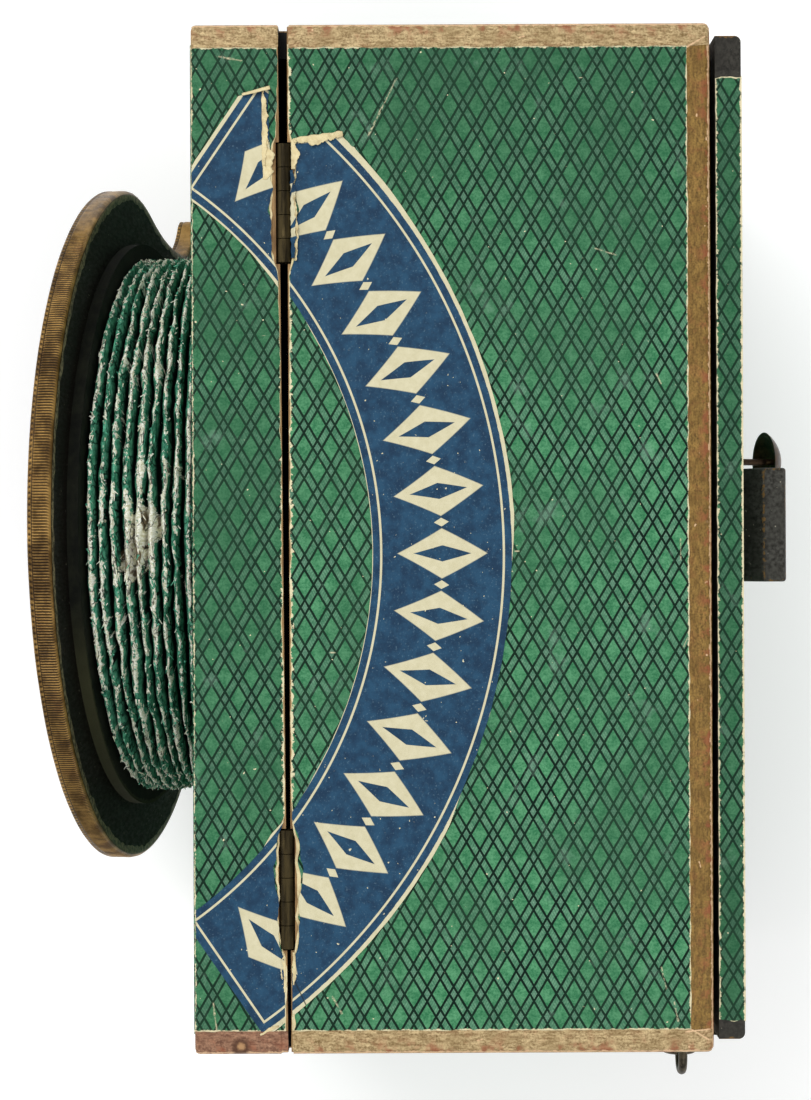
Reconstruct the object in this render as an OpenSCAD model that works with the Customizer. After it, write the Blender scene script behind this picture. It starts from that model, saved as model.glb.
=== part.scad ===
// Table-top peep box for painted paper views: a papered wooden box with a lid
// on top, a drop door at the back and a lens board on a round pleated bellows.
// +X is the viewer's right, +Y points away from the viewer and +Z is up.
// The origin is the middle of the box's underside. Sizes are in millimetres.

/* [Box] */
// Width of the box, left to right
box_w = 220; // [185:1:264]
// Depth of the box, front face to back face
box_d = 111; // [92:1:134]
// Height of the box, underside to the top of the lid
box_h = 164; // [136:1:197]
// Thickness of the wooden walls
wall = 6; // [5:0.5:8]
// Rounding of the worn outer edges; the underside's edges stay sharp
arris_r = 1.2; // [0.4:0.1:1.6]

/* [Lid] */
// Thickness of the lid and of the fixed strip in front of it
lid_t = 6; // [5:0.5:8]
// Depth of the fixed strip at its left end
strip_left = 18.7; // [15:0.1:24]
// Depth of the fixed strip at its right end
strip_right = 20; // [15:0.1:24]
// Gap between strip and lid where it is narrowest
lid_gap = 0.7; // [0.4:0.1:1.2]
// Thickness of the white card that throws daylight onto the view
reflector_t = 0.8; // [0.5:0.1:1.5]
// Distance of that card from the walls around it
reflector_margin = 2; // [1:0.5:5]

/* [Door] */
// Thickness of the back door
door_t = 5.6; // [4.5:0.1:8]
// How far the door stops short of each side of the box
door_side_inset = 2.1; // [1:0.1:4]
// How far the door stops short of the top and the underside
door_end_inset = 2.6; // [2.3:0.1:4]
// Rounding of the door's outer upright edges
door_round = 1.4; // [0.5:0.1:2.5]

/* [Finger pull] */
// Width of the wooden pull on the door
pull_w = 25; // [15:1:40]
// Height of the pull
pull_h = 16; // [12:0.5:24]
// How far the pull stands out from the door
pull_out = 11.1; // [9:0.1:16]
// Distance of the pull's ridge from the door
pull_ridge = 6; // [5:0.1:8]
// Depth of the finger groove behind the ridge
pull_groove = 9; // [7:0.5:11]
// How far the pull sits below the door's top edge
pull_drop = 11.4; // [5:0.1:30]
// Sideways place of the pull's middle
pull_x = -2.8; // [-20:0.1:20]

/* [Dome nail] */
// Radius of the nail's hollow head
nail_head_r = 6.8; // [5:0.1:8]
// Height of the domed head
nail_dome = 3.6; // [2.5:0.1:4.5]
// Thickness of the head's sheet metal
nail_sheet = 0.6; // [0.4:0.1:1]
// Radius of the nail's pin
nail_pin_r = 0.75; // [0.6:0.05:1.2]
// Length of pin showing between door and head
nail_out = 9.8; // [8:0.1:14]
// How far the nail droops from level, in degrees
nail_droop = 15; // [0:1:20]
// Distance of the nail from the pull's middle, to the left
nail_side = 14.5; // [8:0.1:40]
// Gap between the pull's underside and the nail's hole
nail_below = 6.6; // [6:0.1:20]

/* [Hinges] */
// Length of each hinge
hinge_len = 25.5; // [20:0.5:32]
// Outer radius of the hinge knuckles
knuckle_r = 1.5; // [1.3:0.1:1.8]
// Radius of the hinge pin
hinge_pin_r = 0.7; // [0.5:0.05:0.9]
// Radial play of the pin in the knuckles
hinge_play = 0.05; // [0.03:0.01:0.08]
// Thickness of the hinge leaves
leaf_t = 0.7; // [0.5:0.05:0.8]
// Gap between the two closed leaves
leaf_gap = 0.2; // [0.1:0.05:0.3]
// Width of a leaf, from the pin to its edge
leaf_w = 4; // [3.2:0.1:4.4]
// Odd number of knuckles in a hinge
knuckles = 5; // [3, 5, 7]
// Distance of the lid's left hinge from the middle
lid_hinge_left = 72; // [40:1:80]
// Distance of the lid's right hinge from the middle
lid_hinge_right = 75; // [40:1:80]
// Distance of the door's hinges from the middle
door_hinge_x = 66; // [40:1:78]
// Radius of the small nails in the leaves
brad_r = 0.6; // [0.4:0.05:0.8]
// Length of those nails
brad_len = 5; // [3:0.5:8]

/* [View slot] */
// Thickness of a framed view, which slides in behind the stops
view_t = 9; // [6:0.5:12]
// Width of the stop strips
stop_w = 5; // [3:0.5:8]
// Depth of the stop strips
stop_d = 6; // [4:0.5:10]

/* [Lens board] */
// How far the board's rim stays short of the box's top and underside
board_inset = 1.5; // [1:0.5:6]
// Thickness of the lens board
board_t = 5.3; // [4:0.1:8]
// Chamfer around the board's back face
board_chamfer = 0.8; // [0.3:0.1:1.2]
// Sideways place of the lens axis
lens_x = -4.2; // [-8:0.1:8]
// Lean of the board, its top outwards, in degrees
board_lean = 8.3; // [0:0.1:9]
// Gap from the box's front face to the board's back face, on the lens axis
board_gap = 19; // [18:0.5:60]
// Thickness of the stamped brass band round the rim
band_t = 0.5; // [0.3:0.1:1]

/* [Nose notch] */
// Depth of the hollow for the nose, from the level of the board's left side
notch_depth = 9.7; // [5:0.1:11]
// Height of the hollow's deepest point below the lens axis
notch_drop = 46; // [40:1:52]
// Radius of the long curve above that point
notch_r = 100; // [80:5:130]
// Radius of the short curve below it
notch_foot_r = 20; // [14:0.5:22]
// Radius that eases the round board into the hollow
shoulder_r = 50; // [30:1:55]
// Radius of the cheek lobe's lower corner
lobe_r = 5; // [4:0.5:8]
// How far the lobe stands out past the round
lobe_out = 1.2; // [0:0.1:3]
// Rounding of the lobe's upper corner
tip_r = 4; // [2:0.5:4]

/* [Bellows] */
// Width of bare board outside the bellows
board_margin = 15.5; // [14:0.5:20]
// Depth of a pleat
pleat_depth = 8; // [5:0.5:10]
// Number of pleats
pleats = 9; // [6:1:9]
// Share of a pleat that its blunt ridge takes
ridge_share = 0.45; // [0.3:0.05:0.6]
// Thickness of the pleated paper and cloth
skin_t = 0.6; // [0.4:0.1:0.8]
// Thickness of the collar on the lens board
front_collar_t = 2.5; // [2:0.1:3]
// Thickness of the collar on the box
rear_collar_t = 1; // [0.8:0.1:1.5]
// Width of the collar on the lens board outside the pleats
front_collar_w = 3; // [1:0.5:5]
// Width of the collar on the box outside the pleats
rear_collar_w = 1; // [0.5:0.5:5]

/* [Lens] */
// Radius of the lens
lens_r = 24; // [18:0.5:30]
// Radius of curvature of each lens face
lens_curve = 140; // [100:5:250]
// Edge thickness of the lens
lens_edge = 2; // [1.5:0.1:3]
// Width of the lip behind the lens
lip_w = 1.5; // [1:0.1:2.5]
// Thickness of that lip
lip_t = 1.5; // [1:0.1:1.8]
// Wall of the turned lens ring inside the board
ring_wall = 4.5; // [3:0.1:6]
// Width of the lens ring's flange on the board's face
flange_w = 7; // [4:0.5:9]
// Height of the lens ring in front of the board
ring_rise = 5; // [4:0.5:8]
// Radial play of the glued and dropped-in pieces
fit = 0.05; // [0.03:0.01:0.08]

/* [Hook and eye] */
// Distance of the eye from the back edge of the side wall
eye_inset = 4.3; // [4:0.1:12]
// Depth of the eye's middle below the top of the lid
eye_drop = 25; // [18:0.5:60]
// Distance of the eye's middle from the side wall
eye_out = 5; // [4.9:0.1:8]
// Radius of the eye, to the middle of its wire
eye_r = 3.8; // [3.5:0.1:4.5]
// Radius of the eye's wire
eye_wire_r = 1; // [0.8:0.05:1.1]
// Length of the eye's screw in the wall
eye_screw = 4.5; // [3:0.5:4.5]
// Radius of the hook's ring, to the middle of its wire
hook_ring_r = 3.1; // [2.8:0.1:3.4]
// Radius of the hook's wire
hook_wire_r = 0.8; // [0.6:0.05:0.9]
// Length of the hook's bent tip
hook_tip = 4.5; // [3:0.5:6]
// Play between loose wires that hang in each other
wire_play = 0.3; // [0.2:0.05:0.4]
// Radius of the catch pin in the door's edge
catch_r = 0.9; // [0.7:0.1:1.2]
// How far the catch pin stands out
catch_out = 4; // [3:0.1:4.2]

/* [Hidden] */
$fn = 64;
// Overlap that makes one solid pass right through another
eps = 0.5;
// Clearance round the hinges in the wood
seat_play = 0.3;

// Box
front_y = -box_d / 2;
back_y = box_d / 2;
side_x = box_w / 2;
shelf_z = box_h - lid_t;
inner_x = side_x - wall;
lid_front_y = front_y + max(strip_left, strip_right) + lid_gap;
stop_y = back_y - view_t - stop_d;

// Hinges: the leaves lie in the gap, the knuckles at its open end
leaf_back = leaf_gap / 2 + leaf_t;
lid_pin_drop = 0.5;
lid_axis = [0, lid_front_y - leaf_back, box_h - lid_pin_drop];
lid_hinge_xs = [-lid_hinge_left, lid_hinge_right];
door_pin_lift = 0.2;
door_axis = [0, back_y + leaf_back, knuckle_r + door_pin_lift];
door_hinge_xs = [-door_hinge_x, door_hinge_x];
knuckle_pitch = hinge_len / knuckles;
knuckle_gap = 0.15;
brad_xs = [-hinge_len / 4, hinge_len / 4];
brad_share = 0.7;
brad_z = leaf_w * brad_share;

// Door
door_y = back_y + 2 * leaf_back;
door_back_y = door_y + door_t;
door_z = door_end_inset;
door_h = box_h - 2 * door_end_inset;
door_x = side_x - door_side_inset;
pull_top = door_z + door_h - pull_drop;
nail_root = [pull_x - nail_side, door_back_y, pull_top - pull_h - nail_below];
nail_depth_share = 0.7;
nail_depth = door_t * nail_depth_share;
pull_foot = pull_h / 5;
pull_edge = 1;

// Lens board: its own frame has x to the right, y up and z towards the eye
lens_z = box_h / 2;
board_r = box_h / 2 - board_inset;
board_at = [lens_x, front_y - board_gap, lens_z];
bellows_r = board_r - board_margin;
valley_r = bellows_r - pleat_depth;
opening_lip = 2;
opening_r = valley_r - opening_lip;
notch_at = [-(board_r - notch_depth), -notch_drop];
lobe_lift = 0.5;
lobe_at = [-(board_r + lobe_out - lobe_r), -(board_r - lobe_lift - lobe_r)];

// Lens
bore_r = lens_r + ring_wall;
lip_r = lens_r - lip_w;
lens_sag = (lens_r * lens_r - lip_r * lip_r) / (2 * lens_curve);
lens_gap = 0.1;
lens_at = lip_t + lens_sag + lens_gap;
retainer_h = 1.2;
flange_t = 2.4;
flange_edge = 1.2;
moulding_w = 3;
lip_top_w = 2.4;
recess_depth = 3.5;

// Hook and eye
eye_at = [side_x + eye_out, back_y - eye_inset, box_h - eye_drop];
hook_at = eye_at - [0, 0, eye_r];
hook_hang = hook_ring_r - eye_wire_r - hook_wire_r - wire_play;
hook_step = catch_r + wire_play + hook_wire_r;
catch_at = [door_x, door_y + door_t / 2, hook_at.z - hook_step];
hook_reach = catch_at.y - hook_at.y;
catch_depth = 5;
catch_lip = 0.6;
catch_head_r = catch_r + catch_lip;
catch_head_t = 0.7;

// Cylinder along X, from x = a to x = b
module rod_x(r, a, b) {
    translate([a, 0, 0]) rotate([0, 90, 0]) cylinder(r = r, h = b - a);
}

// Cylinder along Y, from y = a to y = b
module rod_y(r, a, b) {
    translate([0, a, 0]) rotate([-90, 0, 0]) cylinder(r = r, h = b - a);
}

// Butt hinges, drawn with the pin on the X axis and the leaves below it

// Start of knuckle i
function knuckle_start(i) = -hinge_len / 2 + i * knuckle_pitch;

// Leaf on the side of y that side gives: it owns every other knuckle from first
module hinge_leaf(side, first) {
    difference() {
        union() {
            translate([-hinge_len / 2, side > 0 ? leaf_gap / 2 : -leaf_back, -leaf_w])
                cube([hinge_len, leaf_t, leaf_w]);
            for (i = [first : 2 : knuckles - 1])
                rod_x(knuckle_r, knuckle_start(i) + knuckle_gap / 2,
                    knuckle_start(i + 1) - knuckle_gap / 2);
        }
        for (i = [1 - first : 2 : knuckles - 1])
            translate([knuckle_start(i) - knuckle_gap / 2, -knuckle_r - eps, -knuckle_r - leaf_gap])
                cube([knuckle_pitch + knuckle_gap, 2 * (knuckle_r + eps), 2 * knuckle_r + eps]);
        rod_x(hinge_pin_r + hinge_play, -hinge_len, hinge_len);
        for (x = brad_xs) translate([x, 0, -brad_z])
            rod_y(brad_r + fit, -knuckle_r - eps, knuckle_r + eps);
    }
}

module hinge_pin() {
    rod_x(hinge_pin_r, -hinge_len / 2, hinge_len / 2);
}

// The two small nails that hold one leaf, driven in on its own side
module hinge_brads(side) {
    for (x = brad_xs) translate([x, 0, -brad_z])
        rod_y(brad_r, side > 0 ? leaf_gap / 2 : -leaf_gap / 2 - brad_len,
            side > 0 ? leaf_gap / 2 + brad_len : -leaf_gap / 2);
}

// What one hinge takes out of the wood on the side of y that side gives
module hinge_seat(side) {
    rod_x(knuckle_r + seat_play, -hinge_len / 2 - seat_play, hinge_len / 2 + seat_play);
    translate([-hinge_len / 2 - seat_play, -leaf_back, -leaf_w - seat_play])
        cube([hinge_len + 2 * seat_play, 2 * leaf_back, leaf_w + 2 * seat_play]);
    for (x = brad_xs) translate([x, 0, -brad_z])
        rod_y(brad_r + fit, side > 0 ? 0 : -leaf_gap / 2 - brad_len - fit,
            side > 0 ? leaf_gap / 2 + brad_len + fit : 0);
}

// Both lid hinges or both door hinges; the door's stand upside down
module at_lid_hinges() {
    for (x = lid_hinge_xs) translate(lid_axis + [x, 0, 0]) children();
}

module at_door_hinges() {
    for (x = door_hinge_xs) translate(door_axis + [x, 0, 0]) mirror([0, 0, 1]) children();
}

// Box

// Plan of the closed box, its four corners rounded
module box_plan() {
    square([box_w - 2 * arris_r, box_d], center = true);
    square([box_w, box_d - 2 * arris_r], center = true);
    for (x = [-1, 1], y = [-1, 1])
        translate([x * (side_x - arris_r), y * (back_y - arris_r)]) circle(arris_r);
}

// Upright outline of the closed box, w across, its two upper corners rounded
module box_upright(w) {
    translate([-w / 2, 0]) square([w, box_h - arris_r]);
    translate([-w / 2 + arris_r, 0]) square([w - 2 * arris_r, box_h]);
    for (s = [-1, 1]) translate([s * (w / 2 - arris_r), box_h - arris_r]) circle(arris_r);
}

// Keeps what lies inside the closed box's rounded outside
module inside_box() {
    intersection() {
        children();
        linear_extrude(box_h) box_plan();
        rotate([90, 0, 0]) linear_extrude(box_d + 2 * eps, center = true) box_upright(box_w);
        rotate([90, 0, 90]) linear_extrude(box_w + 2 * eps, center = true) box_upright(box_d);
    }
}

module base_board() {
    color("olivedrab") difference() {
        inside_box() translate([-side_x, front_y, 0]) cube([box_w, box_d, wall]);
        at_door_hinges() hinge_seat(-1);
    }
}

module side_wall() {
    inside_box() translate([inner_x, front_y + wall, wall])
        cube([wall, box_d - wall, shelf_z - wall]);
}

module side_left() {
    color("seagreen") mirror([1, 0, 0]) side_wall();
}

module side_right() {
    color("seagreen") difference() {
        side_wall();
        translate([side_x, eye_at.y, eye_at.z]) rod_x(eye_wire_r + fit, -eye_screw - fit, eps);
    }
}

module front_board() {
    color("seagreen") difference() {
        inside_box() translate([-side_x, front_y, wall]) cube([box_w, wall, shelf_z - wall]);
        translate([lens_x, 0, lens_z]) rod_y(opening_r, front_y - eps, front_y + wall + eps);
    }
}

// The strip's back edge isn't quite square: its gap to the lid tapers
module top_strip() {
    color("seagreen") difference() {
        inside_box() translate([0, front_y, shelf_z]) linear_extrude(lid_t)
            polygon([[-side_x, 0], [side_x, 0], [side_x, strip_right], [-side_x, strip_left]]);
        at_lid_hinges() hinge_seat(-1);
    }
}

module view_stop_side() {
    translate([inner_x - stop_w, stop_y, wall]) cube([stop_w, stop_d, shelf_z - wall]);
}

module view_stop_left() {
    color("dimgray") mirror([1, 0, 0]) view_stop_side();
}

module view_stop_right() {
    color("dimgray") view_stop_side();
}

module view_stop_bottom() {
    color("dimgray") translate([-inner_x + stop_w, stop_y, wall])
        cube([2 * (inner_x - stop_w), stop_d, stop_w]);
}

module lid_hinge_box_leaves() {
    color("darkgoldenrod") at_lid_hinges() hinge_leaf(-1, 0);
}

module lid_hinge_pins() {
    color("goldenrod") at_lid_hinges() hinge_pin();
}

module door_hinge_box_leaves() {
    color("darkgoldenrod") at_door_hinges() hinge_leaf(-1, 0);
}

module door_hinge_pins() {
    color("goldenrod") at_door_hinges() hinge_pin();
}

module box_hinge_brads() {
    color("gray") {
        at_lid_hinges() hinge_brads(-1);
        at_door_hinges() hinge_brads(-1);
    }
}

// Lid

module lid_panel() {
    color("seagreen") difference() {
        inside_box() translate([-side_x, lid_front_y, shelf_z])
            cube([box_w, back_y - lid_front_y, lid_t]);
        at_lid_hinges() hinge_seat(1);
    }
}

module lid_reflector() {
    corner = [-inner_x + reflector_margin, lid_front_y + reflector_margin, shelf_z - reflector_t];
    card = [2 * (inner_x - reflector_margin), stop_y - lid_front_y - 2 * reflector_margin, reflector_t];
    color("ivory") translate(corner) cube(card);
}

module lid_hinge_lid_leaves() {
    color("darkgoldenrod") at_lid_hinges() hinge_leaf(1, 1);
}

module lid_hinge_brads() {
    color("gray") at_lid_hinges() hinge_brads(1);
}

// Door

// Plan of the door, its two outer edges rounded
module door_plan() {
    translate([-door_x, 0]) square([2 * door_x, door_t - door_round]);
    translate([-door_x + door_round, 0]) square([2 * (door_x - door_round), door_t]);
    for (s = [-1, 1]) translate([s * (door_x - door_round), door_t - door_round]) circle(door_round);
}

module door_panel() {
    color("darkslategray") difference() {
        translate([0, door_y, door_z]) linear_extrude(door_h) door_plan();
        at_door_hinges() hinge_seat(1);
        translate(nail_root) rotate([-nail_droop, 0, 0]) rod_y(nail_pin_r + fit, -nail_depth - fit, eps);
        translate(catch_at) rod_x(catch_r + fit, -catch_depth - fit, eps);
    }
}

// Section of the pull, y outwards from the door: a ridge with a finger groove behind it
module pull_section() {
    polygon([
        [0, 0], [pull_out - pull_foot, 0], [pull_out, pull_foot], [pull_out, pull_h - pull_edge],
        [pull_out - pull_edge, pull_h], [pull_ridge, pull_h], [0, pull_h - pull_groove]
    ]);
}

module door_pull() {
    color("dimgray") translate([pull_x - pull_w / 2, door_back_y, pull_top - pull_h])
        rotate([90, 0, 90]) linear_extrude(pull_w) pull_section();
}

// Upholsterer's nail with a hollow domed head, driven in by hand and drooping
module dome_nail() {
    ball_r = (nail_head_r * nail_head_r + nail_dome * nail_dome) / (2 * nail_dome);
    color("peru") translate(nail_root) rotate([-nail_droop, 0, 0]) {
        difference() {
            translate([0, nail_out + nail_dome - ball_r, 0]) sphere(ball_r, $fn = 96);
            translate([0, nail_out + nail_dome - ball_r, 0]) sphere(ball_r - nail_sheet, $fn = 96);
            translate([-ball_r - eps, nail_out - 2 * ball_r - eps, -ball_r - eps])
                cube([2 * (ball_r + eps), 2 * ball_r + eps, 2 * (ball_r + eps)]);
        }
        rod_y(nail_pin_r, -nail_depth, nail_out + nail_dome - nail_sheet / 2);
    }
}

module door_hinge_door_leaves() {
    color("darkgoldenrod") at_door_hinges() hinge_leaf(1, 1);
}

module door_hinge_brads() {
    color("gray") at_door_hinges() hinge_brads(1);
}

module catch_pin() {
    color("slategray") translate(catch_at) {
        rod_x(catch_r, -catch_depth, catch_out);
        rod_x(catch_head_r, catch_out - catch_head_t, catch_out);
    }
}

// Lens board

module on_board() {
    translate(board_at) rotate([90 + board_lean, 0, 0]) children();
}

// Everything above, or below, the level of the hollow's deepest point
module above_notch() {
    translate([-2 * board_r, notch_at.y]) square(4 * board_r);
}

module below_notch() {
    mirror([0, 1]) translate([-2 * board_r, -notch_at.y]) square(4 * board_r);
}

// Left side of the board from the round into the hollow, drawn on a round that runs on
// downwards so that the shoulder has room to ease in
module shoulder_side() {
    offset(r = shoulder_r) offset(delta = -shoulder_r) difference() {
        hull() for (y = [0, -3 * board_r]) translate([0, y]) circle(board_r, $fn = 180);
        translate(notch_at - [notch_r, 0]) circle(notch_r, $fn = 240);
    }
}

// Outline of the board: a round with a cheek lobe at its lower left, a long curve down
// into the hollow for the nose and a short one out of it
module board_outline() {
    offset(r = tip_r) offset(delta = -tip_r) intersection() {
        hull() {
            circle(board_r, $fn = 180);
            translate(lobe_at) circle(lobe_r);
        }
        union() {
            intersection() {
                shoulder_side();
                above_notch();
            }
            difference() {
                below_notch();
                translate(notch_at - [notch_foot_r, 0]) circle(notch_foot_r);
            }
        }
    }
}

module lens_disc() {
    color("black") on_board() difference() {
        union() {
            translate([0, 0, board_chamfer]) linear_extrude(board_t - board_chamfer) board_outline();
            linear_extrude(board_chamfer) offset(delta = -board_chamfer) board_outline();
        }
        translate([0, 0, -eps]) cylinder(r = bore_r, h = board_t + 2 * eps, $fn = 96);
    }
}

module rim_band() {
    color("goldenrod") on_board() translate([0, 0, board_chamfer])
        linear_extrude(board_t - board_chamfer) difference() {
            offset(r = band_t) board_outline();
            board_outline();
        }
}

module front_collar() {
    color("darkslategray") on_board() translate([0, 0, -front_collar_t]) difference() {
        cylinder(r = bellows_r + front_collar_w, h = front_collar_t);
        translate([0, 0, -eps]) cylinder(r = opening_r, h = front_collar_t + 2 * eps);
    }
}

// Turned ring in the board: a lip behind the lens, a flange and an eye recess in front
module lens_ring() {
    mouth_r = lens_r + fit;
    flange_r = bore_r + flange_w;
    moulding_r = bore_r + moulding_w;
    face_z = board_t + ring_rise;
    color("saddlebrown") on_board() rotate_extrude($fn = 96) polygon([
        [lip_r, 0], [bore_r - fit, 0], [bore_r - fit, board_t],
        [flange_r, board_t], [flange_r, board_t + flange_edge],
        [flange_r - flange_edge, board_t + flange_t], [moulding_r, board_t + flange_t],
        [moulding_r, face_z - flange_edge], [moulding_r - flange_edge, face_z],
        [mouth_r + lip_top_w, face_z], [mouth_r, face_z - recess_depth],
        [mouth_r, lip_t], [lip_r, lip_t]
    ]);
}

module lens() {
    rise = sqrt(lens_curve * lens_curve - lens_r * lens_r);
    color("lightcyan") on_board() translate([0, 0, lens_at + lens_edge / 2])
        rotate_extrude($fn = 96) intersection() {
            translate([0, lens_edge / 2 - rise]) circle(lens_curve, $fn = 1440);
            translate([0, rise - lens_edge / 2]) circle(lens_curve, $fn = 1440);
            translate([0, -lens_r]) square([lens_r, 2 * lens_r]);
        }
}

module lens_retainer() {
    color("goldenrod") on_board() translate([0, 0, lens_at + lens_edge + lens_sag + lens_gap]) difference() {
        cylinder(r = lens_r, h = retainer_h, $fn = 96);
        translate([0, 0, -eps]) cylinder(r = lip_r, h = retainer_h + 2 * eps, $fn = 96);
    }
}

// Bellows: rings of points from the box to the board, which lean and fan out with it

rear_at = [lens_x, front_y - rear_collar_t, lens_z];
front_at = board_at + front_collar_t * [0, cos(board_lean), sin(board_lean)];
bellows_sides = 40;
// Stations along the bellows: valley, blunt ridge, and valley again for each pleat
stations = concat([for (i = [0 : pleats - 1], s = [0, 0.5 - ridge_share / 2, 0.5 + ridge_share / 2])
    [(i + s) / pleats, s == 0 ? valley_r : bellows_r]], [[1, valley_r]]);
last_station = len(stations) - 1;

// Point number j of the ring at station s, drawn in by the depth inset
function ring_point(s, j, inset) =
    let (t = s[0], lean = board_lean * t, a = 360 * j / bellows_sides, r = s[1] - inset)
    rear_at + t * (front_at - rear_at)
    + r * [sin(a), -cos(a) * sin(lean), cos(a) * cos(lean)];

module bellows() {
    n = bellows_sides;
    m = (last_station + 1) * n;
    points = [for (inset = [0, skin_t], s = stations, j = [0 : n - 1]) ring_point(s, j, inset)];
    outside = [for (k = [0 : last_station - 1], j = [0 : n - 1])
        let (a = k * n + j, b = k * n + (j + 1) % n) each [[a, b, a + n], [b, b + n, a + n]]];
    inside = [for (f = outside) [f[0] + m, f[2] + m, f[1] + m]];
    rear_end = [for (j = [0 : n - 1])
        let (a = j, b = (j + 1) % n) each [[a, a + m, b], [b, a + m, b + m]]];
    front_end = [for (f = rear_end) [for (i = [0, 2, 1]) f[i] + last_station * n]];
    color("lightseagreen") polyhedron(points, concat(outside, inside, rear_end, front_end));
}

module rear_collar() {
    color("seagreen") translate([lens_x, 0, lens_z]) difference() {
        rod_y(bellows_r + rear_collar_w, front_y - rear_collar_t, front_y);
        rod_y(opening_r, front_y - rear_collar_t - eps, front_y + eps);
    }
}

// Hook and eye

// Ring of wire in the plane across X or across Y
module wire_ring(r, wire_r, turn) {
    rotate(turn) rotate_extrude() translate([r, 0]) circle(wire_r);
}

module screw_eye() {
    color("slategray") translate(eye_at) {
        wire_ring(eye_r, eye_wire_r, [90, 0, 0]);
        rod_x(eye_wire_r, -eye_out - eye_screw, -eye_r);
    }
}

// Hook that hangs from the eye: a ring, a straight shank and a tip bent forwards
module wire_hook() {
    bend_r = 2 * hook_wire_r;
    tip_z = hook_reach + hook_step;
    color("slategray") translate(hook_at) {
        translate([0, 0, -hook_hang]) wire_ring(hook_ring_r, hook_wire_r, [0, 90, 0]);
        translate([0, 0, -tip_z + bend_r])
            cylinder(r = hook_wire_r, h = tip_z - bend_r - hook_hang - hook_ring_r);
        translate([0, -bend_r, -tip_z + bend_r]) rotate([0, 90, 0])
            rotate_extrude(angle = 90) translate([bend_r, 0]) circle(hook_wire_r);
        translate([0, 0, -tip_z]) rod_y(hook_wire_r, -hook_tip, -bend_r);
    }
}

base_board();
side_left();
side_right();
front_board();
top_strip();
view_stop_left();
view_stop_right();
view_stop_bottom();
lid_hinge_box_leaves();
lid_hinge_pins();
door_hinge_box_leaves();
door_hinge_pins();
box_hinge_brads();
rear_collar();
bellows();
screw_eye();
lid_panel();
lid_reflector();
lid_hinge_lid_leaves();
lid_hinge_brads();
door_panel();
door_pull();
dome_nail();
door_hinge_door_leaves();
door_hinge_brads();
catch_pin();
lens_disc();
rim_band();
front_collar();
lens_ring();
lens();
lens_retainer();
wire_hook();
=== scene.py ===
import bmesh
import bpy
import math
import random
from functools import reduce
from mathutils import Matrix, Vector, noise


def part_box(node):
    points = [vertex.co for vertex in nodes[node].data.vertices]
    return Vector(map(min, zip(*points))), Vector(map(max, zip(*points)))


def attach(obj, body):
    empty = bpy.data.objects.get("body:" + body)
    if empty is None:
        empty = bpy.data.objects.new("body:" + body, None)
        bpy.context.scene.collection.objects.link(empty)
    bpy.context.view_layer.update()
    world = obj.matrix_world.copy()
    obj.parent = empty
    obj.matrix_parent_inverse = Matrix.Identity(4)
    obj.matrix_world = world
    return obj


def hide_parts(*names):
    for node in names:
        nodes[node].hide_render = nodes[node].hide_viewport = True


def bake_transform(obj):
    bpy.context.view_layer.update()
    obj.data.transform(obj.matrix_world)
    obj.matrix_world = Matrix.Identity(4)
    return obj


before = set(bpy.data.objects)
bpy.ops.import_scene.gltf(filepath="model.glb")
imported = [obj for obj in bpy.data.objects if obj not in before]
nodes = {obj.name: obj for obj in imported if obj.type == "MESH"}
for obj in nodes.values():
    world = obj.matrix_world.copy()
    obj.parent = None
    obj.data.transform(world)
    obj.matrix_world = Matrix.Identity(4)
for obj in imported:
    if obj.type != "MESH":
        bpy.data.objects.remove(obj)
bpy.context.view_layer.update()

# Driving sizes of the looks, in metres
MM = 0.001
RAG_LIFT = 0.08 * MM
PAPER_LIFT = 0.20 * MM
EDGING_LIFT = 0.27 * MM
LABEL_LIFT = 0.33 * MM
EDGING_W = 4.7 * MM
ARRIS = 1.2 * MM
# How far the papers run in under the edging
PAPER_LAP = 0.7 * MM
# The opened lid stands over the strip up to this far in front of its hinges' pins. The sheets there are
# pressed to a share of their lift, which they have again a little further out
LID_OVERHANG = 1.05 * MM
PRESSED_SHARE = 0.2
PRESSED_REACH = 0.4 * MM
# Differences that are no more than rounding in a mesh, and the distance at which its points are one
TINY = 0.01 * MM
WELD = 0.002 * MM
# Between the noises of two seeds
SEED_GAP = 7.31

# The paper's trellis: distance between like diamonds, spread of a line pair, width of a line
TRELLIS_ACROSS = 5.73 * MM
TRELLIS_ALONG = 9.75 * MM
TRELLIS_PAIR = 0.165
TRELLIS_LINE = 0.044

# The label: a ring sector round a point in front of the box
LABEL_CENTRE = Vector((3.15 * MM, -111.6 * MM))
LABEL_INNER = 94.6 * MM
LABEL_OUTER = 125.3 * MM
LABEL_HALF_ANGLE = math.radians(55.7)
LABEL_STEPS = 300
LOZENGE_ROW = 109.6 * MM
LOZENGE_PITCH = 13.4 * MM
# Where the label is torn across on the lid, where its corner curls up on the strip, and its crack, in mm
LABEL_TEAR = ((-85.1, -34.0), (-87.4, -22.5))
LABEL_CURL = ((-95.0, -44.4), (-96.4, -38.4))
LABEL_CRACK = ((94.2, -34.2), (100.6, -31.2))

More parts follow.
